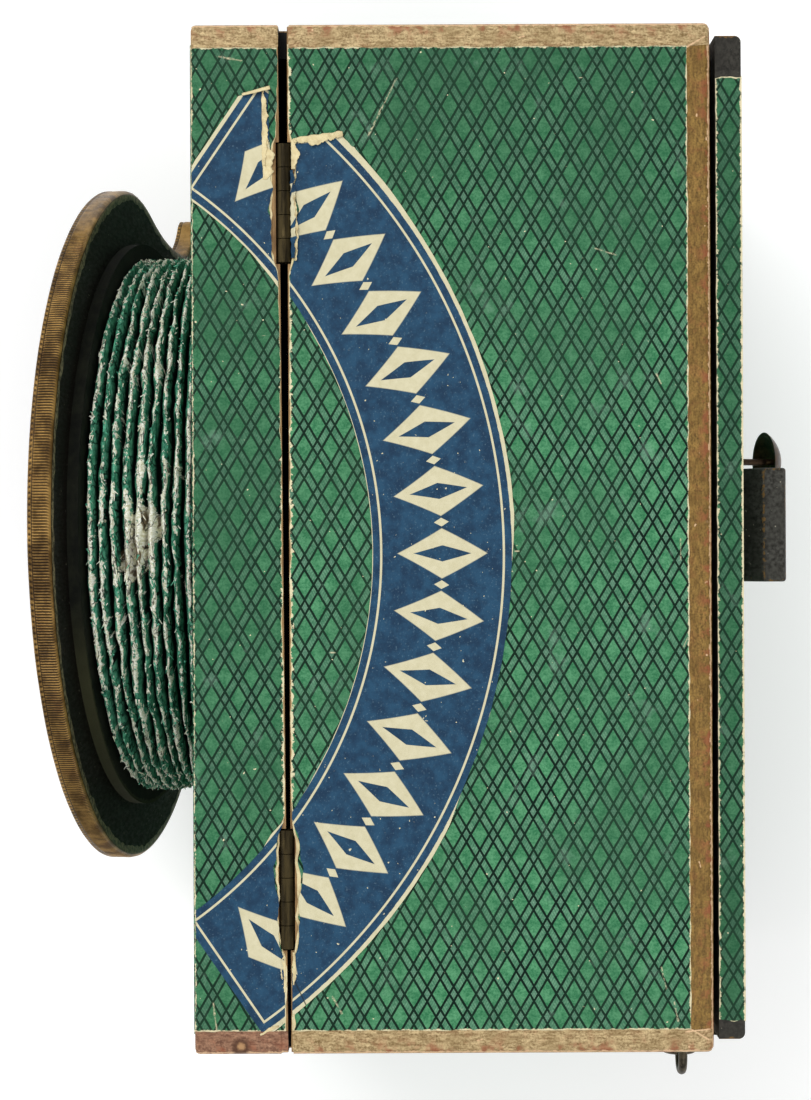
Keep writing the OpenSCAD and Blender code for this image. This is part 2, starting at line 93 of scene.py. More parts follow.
# Scratches, each between two points, (x, y), in mm
LID_SCRATCHES = (
    ((-98.7, -11.3), (-86.3, -17.5)), ((-62.0, 31.0), (-60.5, 35.5)), ((0.3, 49.0), (4.8, 49.0)),
    ((20.0, 51.0), (23.5, 49.5)), ((99.5, 47.2), (103.5, 48.0)), ((92.0, 44.5), (96.5, 45.5)),
    ((-35.0, 44.0), (-33.0, 45.0)), ((98.0, -26.0), (101.5, -24.0)),
)
STRIP_SCRATCHES = (
    ((-103.5, -50.0), (-102.5, -44.5)), ((99.0, -51.5), (105.0, -50.8)), ((84.0, -55.0), (86.0, -53.5)),
)
EDGING_SCRATCHES = (
    ((-105.1, 50.9), (-107.2, 54.6)), ((104.0, 48.8), (107.4, 54.4)), ((105.8, 49.6), (105.2, 54.8)),
)

# The rim's stamped ribs. Each row of the band: its place across and its height in mm, then its shares of
# the ribs and of the beads
RIB_PITCH = 0.64 * MM
RIB_DEPTH = 0.26 * MM
BEAD_DEPTH = 0.14 * MM
STEPS_PER_RIB = 6
RIM_GROOVE = (4.25, -0.17, 0, 0)
RIM_ROWS = (
    (-0.06, -2.5, 0, 0), (-0.08, -0.95, 0, 0), (0.12, -0.70, 0, 0),
    (0.32, -0.40, 0.2, 0), (0.55, -0.20, 0.6, 0), (0.85, -0.05, 0.9, 0),
    (1.3, 0.0, 1, 0), (2.5, 0.0, 1, 0), (3.7, 0.0, 1, 0), (4.05, -0.05, 0.7, 0),
    RIM_GROOVE, (4.40, -0.03, 0, 0.5), (4.70, 0.04, 0, 1), (5.05, -0.02, 0, 0.5),
    (5.3, -0.45, 0, 0),
)

# The bellows, and the noise on its pleats: share, step in mm, change from pleat to pleat, and seed
PLEATS = 9
PLEAT_SIDES = 360
PLEAT_STEPS = 11
PLEAT_DEPTH = 8 * MM
PLEAT_BUMPS = ((0.60, 14, 1.7, 0), (0.55, 3, 2, 9), (0.50, 1.3, 3, 20))
PLEAT_WANDER = ((0.30, 19, 0.9, 40), (0.20, 4, 1.3, 60))
FRAYS = 1700

# The camera looks straight down; the photo's left is the lens side
CAMERA_AT = (2.4 * MM, -9.9 * MM, 736 * MM)
CAMERA_LENS = 87.42
CAMERA_TURN = math.radians(90 - 0.26)

lid_lo, lid_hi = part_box("lid_panel")
door_lo, door_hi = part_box("door_panel")
pull_lo, pull_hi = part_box("door_pull")
collar_lo, collar_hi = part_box("rear_collar")
front_collar_lo, front_collar_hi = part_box("front_collar")
bellows_lo, bellows_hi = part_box("bellows")
pin_y = sum(corner.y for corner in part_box("lid_hinge_pins")) / 2
side_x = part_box("base_board")[1].x
front_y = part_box("front_board")[0].y
strip_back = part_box("top_strip")[1].y
back_y = lid_hi.y
shelf_z = lid_lo.z
top_z = lid_hi.z
X, Y, Z = Vector((1, 0, 0)), Vector((0, 1, 0)), Vector((0, 0, 1))

# The lens board leans back: its own frame has x to the right, y up and z towards the eye
BOARD_AT = Vector((-4.2, -74.5, 82)) * MM
BOARD_LEAN = math.radians(8.3)
COLLAR_T = 2.5 * MM
FRONT_COLLAR_R = (front_collar_hi.x - front_collar_lo.x) / 2
board_frame = Matrix.Translation(BOARD_AT) @ Matrix.Rotation(math.pi / 2 + BOARD_LEAN, 4, "X")


def paint(red, green, blue):
    """A colour given as the eye sees it, 0 to 255, as the shader wants it."""
    linear = []
    for part in (red, green, blue):
        c = part / 255
        linear.append(c / 12.92 if c <= 0.04045 else ((c + 0.055) / 1.055) ** 2.4)
    return (*linear, 1.0)


class Value:
    """What a node gives. A sum with it adds a node."""

    def __init__(self, finish, socket):
        self.finish = finish
        self.socket = socket

    def __add__(self, other):
        return self.finish.math("ADD", self, other)

    __radd__ = __add__

    def __sub__(self, other):
        return self.finish.math("SUBTRACT", self, other)

    def __rsub__(self, other):
        return self.finish.math("SUBTRACT", other, self)

    def __mul__(self, other):
        return self.finish.math("MULTIPLY", self, other)

    __rmul__ = __mul__

    def __truediv__(self, other):
        return self * (1 / other)

    def __abs__(self):
        return self.finish.math("ABSOLUTE", self)


class Finish:
    """A material and the few node moves that its makers need."""

    def __init__(self, name, roughness=0.6, metallic=0.0, specular=0.5):
        self.material = bpy.data.materials.new(name)
        self.material.use_nodes = True
        self.tree = self.material.node_tree
        self.surface = self.tree.nodes["Principled BSDF"].inputs
        self.join(roughness, self.surface["Roughness"])
        self.join(metallic, self.surface["Metallic"])
        self.join(specular, self.surface["Specular IOR Level"])

    def join(self, value, socket):
        if isinstance(value, Value):
            self.tree.links.new(value.socket, socket)
        else:
            socket.default_value = value

    def node(self, kind, inputs, output=0, **settings):
        """Adds a node with these inputs and settings, and gives one of its outputs."""
        made = self.tree.nodes.new(kind)
        for key, value in settings.items():
            setattr(made, key, value)
        for key, value in inputs.items():
            self.join(value, made.inputs[key])
        return Value(self, made.outputs[output])

    def math(self, operation, a, b=0.0, clamp=False):
        return self.node("ShaderNodeMath", {0: a, 1: b}, operation=operation, use_clamp=clamp)

    def low(self, *values):
        return reduce(lambda a, b: self.math("MINIMUM", a, b), values)

    def high(self, *values):
        return reduce(lambda a, b: self.math("MAXIMUM", a, b), values)

    def near_whole(self, a):
        """Distance of a number from the nearest whole number."""
        return abs(self.math("FRACT", a + 0.5) - 0.5)

    def distance(self, x, y):
        return self.math("SQRT", x * x + y * y)

    def segment(self, x, y, start, end):
        """Distance from a straight line between two points that are given in mm."""
        run_x, run_y = [(b - a) * MM for a, b in zip(start, end)]
        from_x = x - start[0] * MM
        from_y = y - start[1] * MM
        length = run_x ** 2 + run_y ** 2
        share = self.math("ADD", from_x * (run_x / length), from_y * (run_y / length), clamp=True)
        return self.distance(from_x - share * run_x, from_y - share * run_y)

    def fade(self, value, start, end, low=0.0, high=1.0):
        """From low at start to high at end, smoothly."""
        inputs = dict(enumerate((value, start, end, low, high)))
        return self.node("ShaderNodeMapRange", inputs, interpolation_type="SMOOTHSTEP")

    def near(self, away, start, end, high=1.0):
        """From high at start to nothing at end, both in mm."""
        return self.fade(away, start * MM, end * MM, high, 0.0)

    def place(self):
        """The point on the piece, in metres."""
        return self.node("ShaderNodeTexCoord", {}, "Object")

    def along(self):
        """The point on the piece's own UV map, in metres: along it, and across it."""
        return self.node("ShaderNodeUVMap", {}, uv_map="wrap")

    def parts(self, point, axes="XYZ"):
        return [self.node("ShaderNodeSeparateXYZ", {0: point}, axis) for axis in axes]

    def marked(self, attribute):
        """A number stored in the mesh."""
        return self.node("ShaderNodeAttribute", {}, "Fac", attribute_name=attribute)

    def point(self, x, y):
        return self.node("ShaderNodeCombineXYZ", {0: x, 1: y})

    def stretched(self, point, *shares):
        return self.node("ShaderNodeVectorMath", {0: point, 1: shares}, operation="MULTIPLY")

    def grain(self, point, step, detail=3, rough=0.55):
        """Noise whose blots are about step wide, in mm."""
        inputs = {"Vector": point, "Scale": 1 / (step * MM), "Detail": detail, "Roughness": rough}
        return self.node("ShaderNodeTexNoise", inputs, "Fac")

    def mix(self, share, *colours):
        """Between two colours, each a value, or red, green and blue as the eye sees them, 0 to 255."""
        a, b = (paint(*colour) if isinstance(colour, tuple) else colour for colour in colours)
        return self.node("ShaderNodeMix", {"Factor": share, 6: a, 7: b}, 2, data_type="RGBA")

    def coated(self, colour, height, depth, strength=0.6, rough=None):
        """The finished material. height is the relief's, which is depth mm deep."""
        self.join(colour, self.surface["Base Color"])
        if rough is not None:
            self.join(rough, self.surface["Roughness"])
        bump = self.node("ShaderNodeBump", {"Strength": strength, "Distance": depth * MM, "Height": height})
        self.join(bump, self.surface["Normal"])
        return self.material


CREAM = (214, 204, 168)
PRINT_LINE = (4, 26, 18)


def trellis_colour(f, across, along):
    """The green paper: pairs of dark lines that cross in diamonds, hatched where a pair runs."""
    spot = f.point(across, along)
    sway = (f.grain(spot, 9, 1) - 0.5) * 0.05
    p = across / TRELLIS_ACROSS + sway
    q = along / TRELLIS_ALONG
    slants = (p + q, p - q)
    pairs = [f.near_whole(slant) for slant in slants]
    half_line = TRELLIS_LINE * 0.75 + f.grain(spot, 1.3, 2) * (TRELLIS_LINE * 0.6)
    nearest = f.low(*[abs(pair - TRELLIS_PAIR) for pair in pairs])
    line = f.fade(nearest - half_line, -0.004, 0.012, 1.0, 0.0)
    bands = [f.fade(pair, TRELLIS_PAIR - 0.01, TRELLIS_PAIR + 0.01, 1.0, 0.0) for pair in pairs]
    hatches = [band * f.fade(f.near_whole(slant * 9), 0.1, 0.4) for band, slant in zip(bands, slants[::-1])]
    blotch = f.fade(f.grain(spot, 2.2, 4, 0.65), 0.34, 0.66)
    blotch = blotch * 0.7 + f.fade(f.grain(spot, 0.5, 3, 0.7), 0.3, 0.7, -0.25, 0.55)
    field = f.mix(blotch, (44, 110, 72), (88, 150, 108))
    dull = f.mix(blotch, (72, 118, 92), (116, 154, 130))
    green = f.mix(f.fade((bands[0] + bands[1]) * 0.5, 0.0, 0.9), field, dull)
    green = f.mix(f.high(*hatches) * 0.45, green, (46, 94, 72))
    return f.mix(line, green, PRINT_LINE), line, spot


def trellis_paper(name, across, along, edges, scratches=(), soil=(0.2, 0.0)):
    """Trellis paper on one flat face. edges are (axis, place, worn width): where it is worn to cream.
    Each scratch is a line between two points, (along, across), in mm. soil is how grimy the left end is,
    and the rest."""
    f = Finish(name, specular=0.09)
    point = f.place()
    at = dict(zip("xyz", f.parts(point)))
    green, line, spot = trellis_colour(f, at[across], at[along])
    ragged = f.grain(spot, 1.6, 4, 0.7)
    worn = 0.0
    for axis, where, width in edges:
        away = abs(at[axis] - where)
        reach = f.fade(ragged, 0.3, 0.75) * width
        worn = f.high(worn, f.near(away - reach, -0.1, 0.12))
    rubbed = 0.0
    for start, end in scratches:
        away = f.segment(at[along], at[across], start, end) + (ragged - 0.5) * (1.1 * MM)
        rubbed = f.high(rubbed, f.near(away, 0.02, 0.30, 0.8))
    rubbed = rubbed * f.fade(f.grain(spot, 0.8, 3, 0.7), 0.4, 0.6)
    specks = f.fade(f.grain(spot, 1.1, 1), 0.77, 0.8)
    streaks = f.fade(f.grain(f.stretched(point, 1, 0.22, 1), 1.7, 2), 0.77, 0.8)
    bare = f.high(worn, specks, rubbed, streaks * 0.7)
    dirt = f.fade(f.grain(point, 28, 4), 0.32, 0.68, 0.0, 0.45)
    aged = f.mix(dirt, green, (42, 80, 56))
    aged = f.mix(f.fade(at["x"], -side_x, -0.15 * side_x, *soil), aged, (26, 58, 40))
    paled = f.fade(f.grain(point, 9, 5, 0.7), 0.58, 0.74, 0.0, 0.3)
    aged = f.mix(paled, aged, (126, 160, 140))
    height = f.grain(point, 0.35) * 0.5 + line * -0.25 - bare * 0.8
    return f.coated(f.mix(bare, aged, CREAM), height, 0.05, rough=f.grain(point, 0.6) * 0.22 + 0.48)


def bare_rag():
    """The cream fibre under torn paper."""
    f = Finish("torn_rag", roughness=0.9, specular=0.2)
    point = f.place()
    tone = f.grain(point, 1.2, 4, 0.7)
    dirty = f.fade(f.grain(point, 3.5), 0.45, 0.7)
    base = f.mix(tone, (234, 224, 184), (196, 174, 122))
    return f.coated(f.mix(dirty * 0.6, base, (150, 126, 86)), f.grain(point, 0.3, 4, 0.7), 0.12, 0.8)


def bronze_paper(name, dark, light, stain=None):
    """The bronze-coloured edging: fine fibres, red where it is rubbed, and pale on the corner it wraps.
    A stain is dark with a pale middle, at a place (x, y) in mm."""
    f = Finish(name, metallic=0.15, specular=0.3)
    spot = f.along()
    u, v = f.parts(spot, "XY")
    fibres = f.grain(f.point(u * 0.4, v * 1.3), 0.9, 5, 0.7)
    fine = f.grain(spot, 0.45)
    cloud = f.grain(f.point(u * 0.6, v), 4, 5, 0.65)
    tone = f.fade(fibres, 0.38, 0.62) * 0.6 + f.fade(fine, 0.36, 0.64) * 0.4
    shade = tuple(0.7 * a + 0.3 * b - 10 for a, b in zip(dark, light))
    base = f.mix(tone, dark, light)
    base = f.mix(f.fade(cloud, 0.42, 0.62, 0.0, 0.5), base, shade)
    outer = f.fade(abs(v), 0.3 * MM, 3.2 * MM, 1.0, 0.2)
    red = outer * f.fade(f.grain(spot, 3.6, 4, 0.65), 0.48, 0.62, 0.0, 0.8)
    base = f.mix(red, base, (140, 76, 48))
    ragged = f.grain(spot, 1.4, 4, 0.7)
    corner = abs(v + 0.1 * MM)
    rubbed = f.near(corner - f.fade(ragged, 0.35, 0.7) * (0.6 * MM), 0, 0.22, 0.9)
    chipped = f.fade(f.grain(f.point(u * 0.6, v), 1.9, 2), 0.71, 0.75, 0.0, 0.9)
    bare = f.high(rubbed, chipped)
    base = f.mix(bare, base, (214, 178, 138))
    x, y = f.parts(f.place(), "XY")
    for ends in EDGING_SCRATCHES:
        away = f.segment(x, y, *ends) + (ragged - 0.5) * (0.9 * MM)
        base = f.mix(f.near(away, 0, 0.25, 0.8), base, (222, 186, 146))
    if stain:
        away = f.segment(x, y, stain, (stain[0], stain[1] + 0.1)) + (ragged - 0.5) * (1.6 * MM)
        base = f.mix(f.near(away, 1.2, 2.6, 0.85), base, (74, 44, 26))
        base = f.mix(f.near(away, 0.3, 1.1, 0.9), base, (176, 136, 94))
    return f.coated(base, fibres - bare, 0.05, rough=f.fade(fibres, 0.3, 0.7, 0.42, 0.6))


def label_print():
    """The blue label: a cream margin, a blue band, a cream line and a blue field with a row of lozenges."""
    f = Finish("label_print", roughness=0.6, specular=0.2)
    point = f.place()
    x, y = f.parts(point, "XY")
    dx, dy = x - LABEL_CENTRE.x, y - LABEL_CENTRE.y
    radius = f.distance(dx, dy)
    angle = f.math("ARCTAN2", dx, dy)
    end = (LABEL_HALF_ANGLE - abs(angle)) * radius
    outside = LABEL_OUTER - radius
    inside = radius - LABEL_INNER
    torn = (f.grain(point, 1.3, 4, 0.7) - 0.5) * MM
    margin = f.high(f.near(outside + torn * 0.3, 0.78, 0.86), f.near(end, 0.34, 0.40),
                    f.near(inside, 0.12, 0.18))
    border = f.low(outside - 2.55 * MM, inside - 1.9 * MM, end - 2.2 * MM)
    line = f.near(abs(border), 0.20, 0.28)
    big = lozenges(f, angle, radius, 9.6 * MM, 0.40)
    slit = lozenges(f, angle, radius, 6.2 * MM, 0.13)
    dots = lozenges(f, angle + 0.5 * LOZENGE_PITCH / LOZENGE_ROW, radius, 1.6 * MM, 0.07)
    row = f.high(big - slit, dots) * f.fade(abs(angle), 0.9055, 0.906, 1.0, 0.0)
    away = f.segment(x, y, *LABEL_TEAR)
    cream = f.high(margin, line, row, f.near(away + torn * 1.6, 0.5, 0.9))
    fleck = f.grain(point, 0.42, 2)
    blue = f.mix(f.fade(f.grain(point, 2.4, 4), 0.3, 0.7), (16, 48, 74), (30, 70, 98))
    blue = f.mix(f.fade(fleck, 0.58, 0.78, 0.0, 0.5), blue, (96, 124, 140))
    pale = f.mix(f.grain(point, 1.6, 5, 0.7), (218, 212, 182), (182, 174, 136))
    specks = f.fade(f.grain(point, 0.9, 1), 0.77, 0.8)
    base = f.mix(f.high(cream, specks), blue, pale)
    crack = f.near(f.segment(x, y, *LABEL_CRACK), 0.08, 0.20, 0.8)
    base = f.mix(crack, base, (20, 30, 34))
    return f.coated(base, f.grain(point, 0.35), 0.05, 0.5)


def lozenges(f, angle, radius, half_height, share):
    """A row of lozenges round the label, as a mask."""
    turn = f.near_whole(angle * (LOZENGE_ROW / LOZENGE_PITCH))
    tall = abs(radius - LOZENGE_ROW) / half_height
    return f.fade(turn / share + tall, 0.97, 1.03, 1.0, 0.0)


def turned_wood():
    """The lens ring's dark wood, whose grain runs across the board."""
    f = Finish("turned_wood", roughness=0.7, specular=0.3)
    dark, light = (40, 26, 16), (84, 56, 34)
    pulled = f.stretched(f.place(), 0.12, 1, 1)
    fibres = f.grain(pulled, 0.9, 4, 0.65)
    rings = f.fade(f.grain(pulled, 4.5, 2), 0.45, 0.65, 0.0, 0.4)
    base = f.mix(f.fade(fibres, 0.3, 0.7), dark, light)
    return f.coated(f.mix(rings, base, dark), fibres, 0.08)


def black_paint(name, worn_edges=(), dark=(30, 29, 26), light=(64, 62, 56)):
    """Black paint on wood: brushed streaks, specks and brown wear by the given edges. Each edge is where
    two planes meet: an axis and a place, another axis and a place, and the width of the wear."""
    f = Finish(name, specular=0.12)
    point = f.place()
    at = dict(zip("xyz", f.parts(point)))
    streaks = f.grain(f.stretched(point, 1, 1, 0.3), 0.8, 4, 0.6)
    cloud = f.fade(f.grain(point, 7), 0.35, 0.65)
    base = f.mix(f.fade(streaks, 0.3, 0.7), dark, light)
    base = f.mix(cloud * 0.5, base, tuple((a + b) // 2 for a, b in zip(dark, light)))
    ragged = f.grain(point, 1.5, 4, 0.7)
    worn = f.fade(f.grain(point, 2), 0.72, 0.76, 0.0, 0.6)
    for axis, where, other_axis, other_where, width in worn_edges:
        away = f.high(abs(at[axis] - where), abs(at[other_axis] - other_where))
        reach = f.fade(ragged, 0.4, 0.75) * width
        worn = f.high(worn, f.near(away - reach, -0.1, 0.15))
    specks = f.fade(f.grain(point, 0.7, 1), 0.76, 0.79, 0.0, 0.8)
    base = f.mix(worn, base, (104, 80, 46))
    colour = f.mix(specks, base, (170, 164, 146))
    return f.coated(colour, streaks - worn, 0.06, rough=f.fade(streaks, 0.3, 0.7, 0.4, 0.62))


def metal(name, dark, light, worn, roughness, metallic=0.85, pull=(1, 1, 1)):
    """Old metal: tarnish in clouds or, with a pull, in streaks, rubbed bright here and there."""
    f = Finish(name, metallic=metallic)
    point = f.place()
    pulled = f.stretched(point, *pull)
    cloud = f.grain(pulled, 1.2, 4, 0.6)
    base = f.mix(f.fade(cloud, 0.35, 0.65), dark, light)
    rubbed = f.fade(f.grain(pulled, 1.8), 0.58, 0.74, 0.0, 0.7)
    rough = f.fade(cloud, 0.3, 0.7, roughness - 0.1, roughness + 0.12)
    return f.coated(f.mix(rubbed, base, worn), f.grain(point, 0.3), 0.03, 0.5, rough)


def reeded_brass():
    """Stamped brass round the rim: darkened by painted shade in the grooves, bright on the ribs, grey where
    it is lapped.
    """
    f = Finish("reeded_brass", metallic=0.6, specular=0.3)
    point = f.place()
    groove = f.marked("groove")
    cloud = f.grain(point, 6, 4, 0.6)
    fine = f.grain(point, 0.5)
    base = f.mix(f.fade(cloud, 0.35, 0.65), (88, 64, 28), (158, 124, 68))
    pink = f.fade(f.grain(point, 10), 0.52, 0.68, 0.0, 0.55)
    base = f.mix(pink, base, (112, 76, 40))
    # Painted shade: the grooves and beads are darkened where the groove mark is high
    base = f.mix(f.fade(groove, 0.1, 0.75, 0.0, 0.92), base, (26, 16, 5))
    tarnish = f.fade(f.grain(point, 1.4, 4, 0.7), 0.56, 0.7, 0.0, 0.6)
    base = f.mix(tarnish, base, (56, 40, 22))
    scuff = f.fade(f.grain(point, 1.2, 4, 0.7), 0.4, 0.6)
    lap = f.mix(scuff, (66, 58, 42), (150, 136, 104))
    colour = f.mix(f.fade(groove, 1.2, 1.8), base, lap)
    return f.coated(colour, fine, 0.04, 0.5, rough=f.fade(fine, 0.3, 0.7, 0.33, 0.50))


def pleat_cloth(crown):
    """Pleated printed paper over cloth: painted shade that blackens the valleys, and crests worn through to
    white and brown.
    crown is how far round the pleats their highest place is, in mm: the wear is worst beside it."""
    f = Finish("pleat_cloth", specular=0.12)
    point = f.place()
    u, v = f.parts(f.along(), "XY")
    ridge = f.marked("ridge")
    crest = f.low(ridge, 1.0)
    top = f.fade(crest, 0.84, 0.985)
    print_colour = trellis_colour(f, v, u)[0]
    blotch = f.fade(f.grain(point, 1.6, 4, 0.7), 0.38, 0.62)
    teal = f.mix(blotch, (30, 108, 84), (104, 190, 156))
    base = f.mix(0.35, teal, print_colour)
    # A pleat is six times as deep as it is wide, and so marks are stretched down its flanks
    w = v / 6
    hole = f.fade(f.grain(f.point(u * 0.5, w), 2), 0.62, 0.67)
    base = f.mix(hole * f.fade(top, 0.0, 1.0, 1.0, 0.4), base, (5, 14, 10))
    # Painted shade: the valleys darkened nearly to black, fading out up the flanks
    base = f.mix(f.fade(crest, 0.50, 0.84), (2, 6, 4), base)
    tear = f.grain(f.point(u * 0.6, w), 0.9, 4, 0.7)
    rip = f.grain(f.point(u * 0.35, w), 1.9)
    patch = f.grain(f.point(u * 0.5, w), 8)
    loss = (tear - 0.5) * 1.8 + (rip - 0.5) * 1.5
    wear = loss + (patch - 0.5) * 1.2 + top * 0.42
    bald = f.segment(u, w, (crown + 1, 10.5), (crown + 11, 14)) + (rip - 0.5) * (7 * MM)
    wear = wear + f.near(bald, 1.5, 5.5, 0.6)
    pulp = f.fade(f.grain(f.point(u, w), 0.5, 4, 0.7), 0.35, 0.65)
    cream = f.mix(pulp, (255, 255, 246), (206, 204, 168))
    base = f.mix(f.fade(wear, 0.33, 0.39), base, cream)
    brown = f.fade(f.grain(f.point(u * 0.3, w), 1.7), 0.53, 0.57, 0.0, 0.9)
    deep = f.high(f.fade(wear, 0.80, 0.90), f.near(bald, 1.8, 3.0))
    base = f.mix(brown * deep, base, (104, 84, 56))
    cleft = abs(f.grain(f.point(u * 0.3, w), 1.5, 2) - 0.5)
    base = f.mix(f.fade(cleft, 0.010, 0.022, 0.8, 0.0), base, (6, 16, 12))
    fray = f.mix(f.fade(f.grain(point, 3, 2), 0.45, 0.53), cream, teal)
    colour = f.mix(f.fade(ridge, 1.2, 1.4), base, fray)
    return f.coated(colour, f.grain(f.point(u, w), 0.6, 4, 0.7) + wear * 0.3, 0.13, 0.7, rough=0.75)


def collar_paper():
    """The black paper round the ends of the bellows, rubbed to olive along the front collar's edge."""
    f = Finish("collar_paper", roughness=0.7, specular=0.12)
    point = f.place()
    x, y, z = f.parts(point)
    tone = f.grain(point, 3, 4, 0.65)
    base = f.mix(f.fade(tone, 0.3, 0.7), (10, 12, 8), (26, 28, 19))
    from_x = x - BOARD_AT.x
    up = board_frame.to_3x3() @ Y
    from_y = (y - BOARD_AT.y) * up.y + (z - BOARD_AT.z) * up.z
    radius = f.distance(from_x, from_y)
    ragged = (f.grain(point, 1.8, 4, 0.7) - 0.5) * (2.6 * MM)
    edge = f.fade(radius + ragged, FRONT_COLLAR_R - 1.1 * MM, FRONT_COLLAR_R - 0.6 * MM)
    low = f.fade(x, 12 * MM, 34 * MM, 0.0, 0.4)
    return f.coated(f.mix(edge * low, base, (76, 76, 50)), f.grain(point, 0.4, 4) - edge, 0.06)


def panel_wood():
    """The box's wood: bare on its outsides, painted black in the viewing chamber and in the slots."""
    f = Finish("panel_wood", roughness=0.65, specular=0.2)
    point = f.place()
    x, y, z = f.parts(point)
    fibres = f.grain(f.stretched(point, 0.12, 1, 1), 0.9, 4, 0.65)
    bare = f.mix(f.fade(fibres, 0.3, 0.7), (104, 78, 48), (160, 128, 86))
    black = f.mix(f.fade(fibres, 0.3, 0.7), (12, 11, 10), (28, 26, 23))
    clear = 0.3 * MM
    within = f.low(top_z - 0.9 * MM - z, z - clear, y - (front_y + clear), back_y - clear - y,
                   side_x - clear - abs(x))
    return f.coated(f.mix(f.fade(within, -0.01 * MM, 0.01 * MM), bare, black), fibres, 0.08)


def white_card():
    f = Finish("white_card", roughness=0.8, specular=0.3)
    point = f.place()
    tone = f.grain(point, 30, 5)
    foxed = f.fade(f.grain(point, 2.6), 0.7, 0.78, 0.0, 0.45)
    base = f.mix(f.fade(tone, 0.25, 0.8), (230, 226, 211), (215, 207, 184))
    return f.coated(f.mix(foxed, base, (168, 140, 98)), f.grain(point, 0.5), 0.04, 0.4)


def lens_glass():
    f = Finish("lens_glass", roughness=0.02)
    point = f.place()
    f.join(1.0, f.surface["Transmission Weight"])
    f.join(1.5, f.surface["IOR"])
    f.join(f.fade(f.grain(point, 6), 0.55, 0.8, 0.01, 0.06), f.surface["Roughness"])
    f.join(f.mix(f.grain(point, 20), (238, 246, 242), (228, 238, 234)), f.surface["Base Color"])
    return f.material


def studio_floor():
    f = Finish("studio_floor", roughness=0.9, specular=0.1)
    point = f.place()
    f.join(f.mix(f.grain(point, 400), (251, 251, 251), (253, 253, 253)), f.surface["Base Color"])
    f.join(paint(255, 255, 255), f.surface["Emission Color"])
    f.join(0.13, f.surface["Emission Strength"])
    return f.material


def put(name, data):
    """A new object in the scene: a light, the camera, or a mesh."""
    made = bpy.data.objects.new(name, data)
    bpy.context.scene.collection.objects.link(made)
    return made


def meshed(bm, name, material):
    """Turns a bmesh into an object."""
    mesh = bpy.data.meshes.new(name)
    bm.to_mesh(mesh)
    bm.free()
    mesh.materials.append(material)
    return put(name, mesh)


def finished(bm, name, material, body):
    """Turns a bmesh into a piece that rides on a body."""
    piece = meshed(bm, name, material)
    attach(piece, body)
    return piece


def smooth(bm):
    for face in bm.faces:
        face.smooth = True


def clamped(*values):
    """The smallest of the values, but not under 0 or over 1."""
    return max(0, min(1, *values))


def wobble(x, y, step, seed):
    """A number from -1 to 1 that changes over about step metres."""
    return noise.noise(Vector((x / step, y / step, seed * SEED_GAP)))


def spread(start, end, step):
    """Numbers from start to end, about step apart."""
    count = max(1, round(abs(end - start) / step))
    return [start + (end - start) * i / count for i in range(count + 1)]


def grid_sheet(us, vs, place):
    """A sheet of quads. place(u, v) gives each point, and (u, v) is also its UV map."""
    bm = bmesh.new()
    wrap = bm.loops.layers.uv.new("wrap")
    rows = [[bm.verts.new(place(u, v)) for u in us] for v in vs]
    for j in range(len(vs) - 1):
        for i in range(len(us) - 1):
            corners = ((i, j), (i + 1, j), (i + 1, j + 1), (i, j + 1))
            face = bm.faces.new([rows[b][a] for a, b in corners])
            for loop, (a, b) in zip(face.loops, corners):
                loop[wrap].uv = (us[a], vs[b])
    return bm


def on_box(p, lift):
    """Moves a point of the box's square outline onto its rounded outside, lift above the wood."""
    core = Vector((
        max(ARRIS - side_x, min(side_x - ARRIS, p.x)),
        max(front_y + ARRIS, min(back_y - ARRIS, p.y)),
        min(top_z - ARRIS, p.z),
    ))
    return core + (p - core).normalized() * (ARRIS + lift)


def pressed(y):
    """Share of its lift that a sheet on the lid or the strip keeps at this y: beside the slot the sheets
    are pressed thin, and so the lid's edge passes over the strip as it opens."""
    away = y - lid_lo.y if y > pin_y else pin_y - LID_OVERHANG - y
    return PRESSED_SHARE + (1 - PRESSED_SHARE) * clamped(away / PRESSED_REACH)


def on_top(p, lift):
    """Like on_box, for the sheets that lie on the lid or the strip."""
    return on_box(p, lift * pressed(p.y) if p.z > shelf_z else lift)


def backed(piece, thickness):
    """Gives a sheet its thickness, inwards from the face that is seen."""
    made = piece.modifiers.new("thickness", "SOLIDIFY")
    made.thickness = thickness
    made.offset = -1
    return piece


def paper(bm, name, material, body, thickness):
    """Turns a bmesh into a piece of paper that rides on a body."""
    backed(finished(bm, name, material, body), thickness)


# Floor, light and camera


def studio():
    bm = bmesh.new()
    bmesh.ops.create_grid(bm, x_segments=1, y_segments=1, size=3.0)
    floor = meshed(bm, "floor", studio_floor())
    floor.location.z = -0.3 * MM
    world = bpy.data.worlds.new("studio")
    bpy.context.scene.world = world
    world.use_nodes = True
    sky = world.node_tree.nodes["Background"].inputs
    sky["Color"].default_value = (1, 1, 1, 1)
    sky["Strength"].default_value = 0.55
    for name, at, size, power in (
        ("key", (-0.9, -0.5, 1.5), 1.0, 15),
        ("fill", (0.9, 0.6, 1.5), 1.2, 11),
        ("front", (-0.1, -1.6, 0.8), 1.0, 6),
    ):
        data = bpy.data.lights.new(name, "AREA")
        data.size = size
        data.energy = power
        lamp = put(name, data)
        lamp.location = at
        lamp.rotation_euler = (Vector((0, 0, 0.08)) - Vector(at)).to_track_quat("-Z", "Y").to_euler()
    data = bpy.data.cameras.new("camera")
    data.lens = CAMERA_LENS
    camera = put("camera", data)
    camera.location = CAMERA_AT
    camera.rotation_euler = (0, 0, CAMERA_TURN)
    bpy.context.scene.camera = camera
    bpy.context.scene.view_settings.view_transform = "Standard"


studio()

# Finishes of the constructed pieces

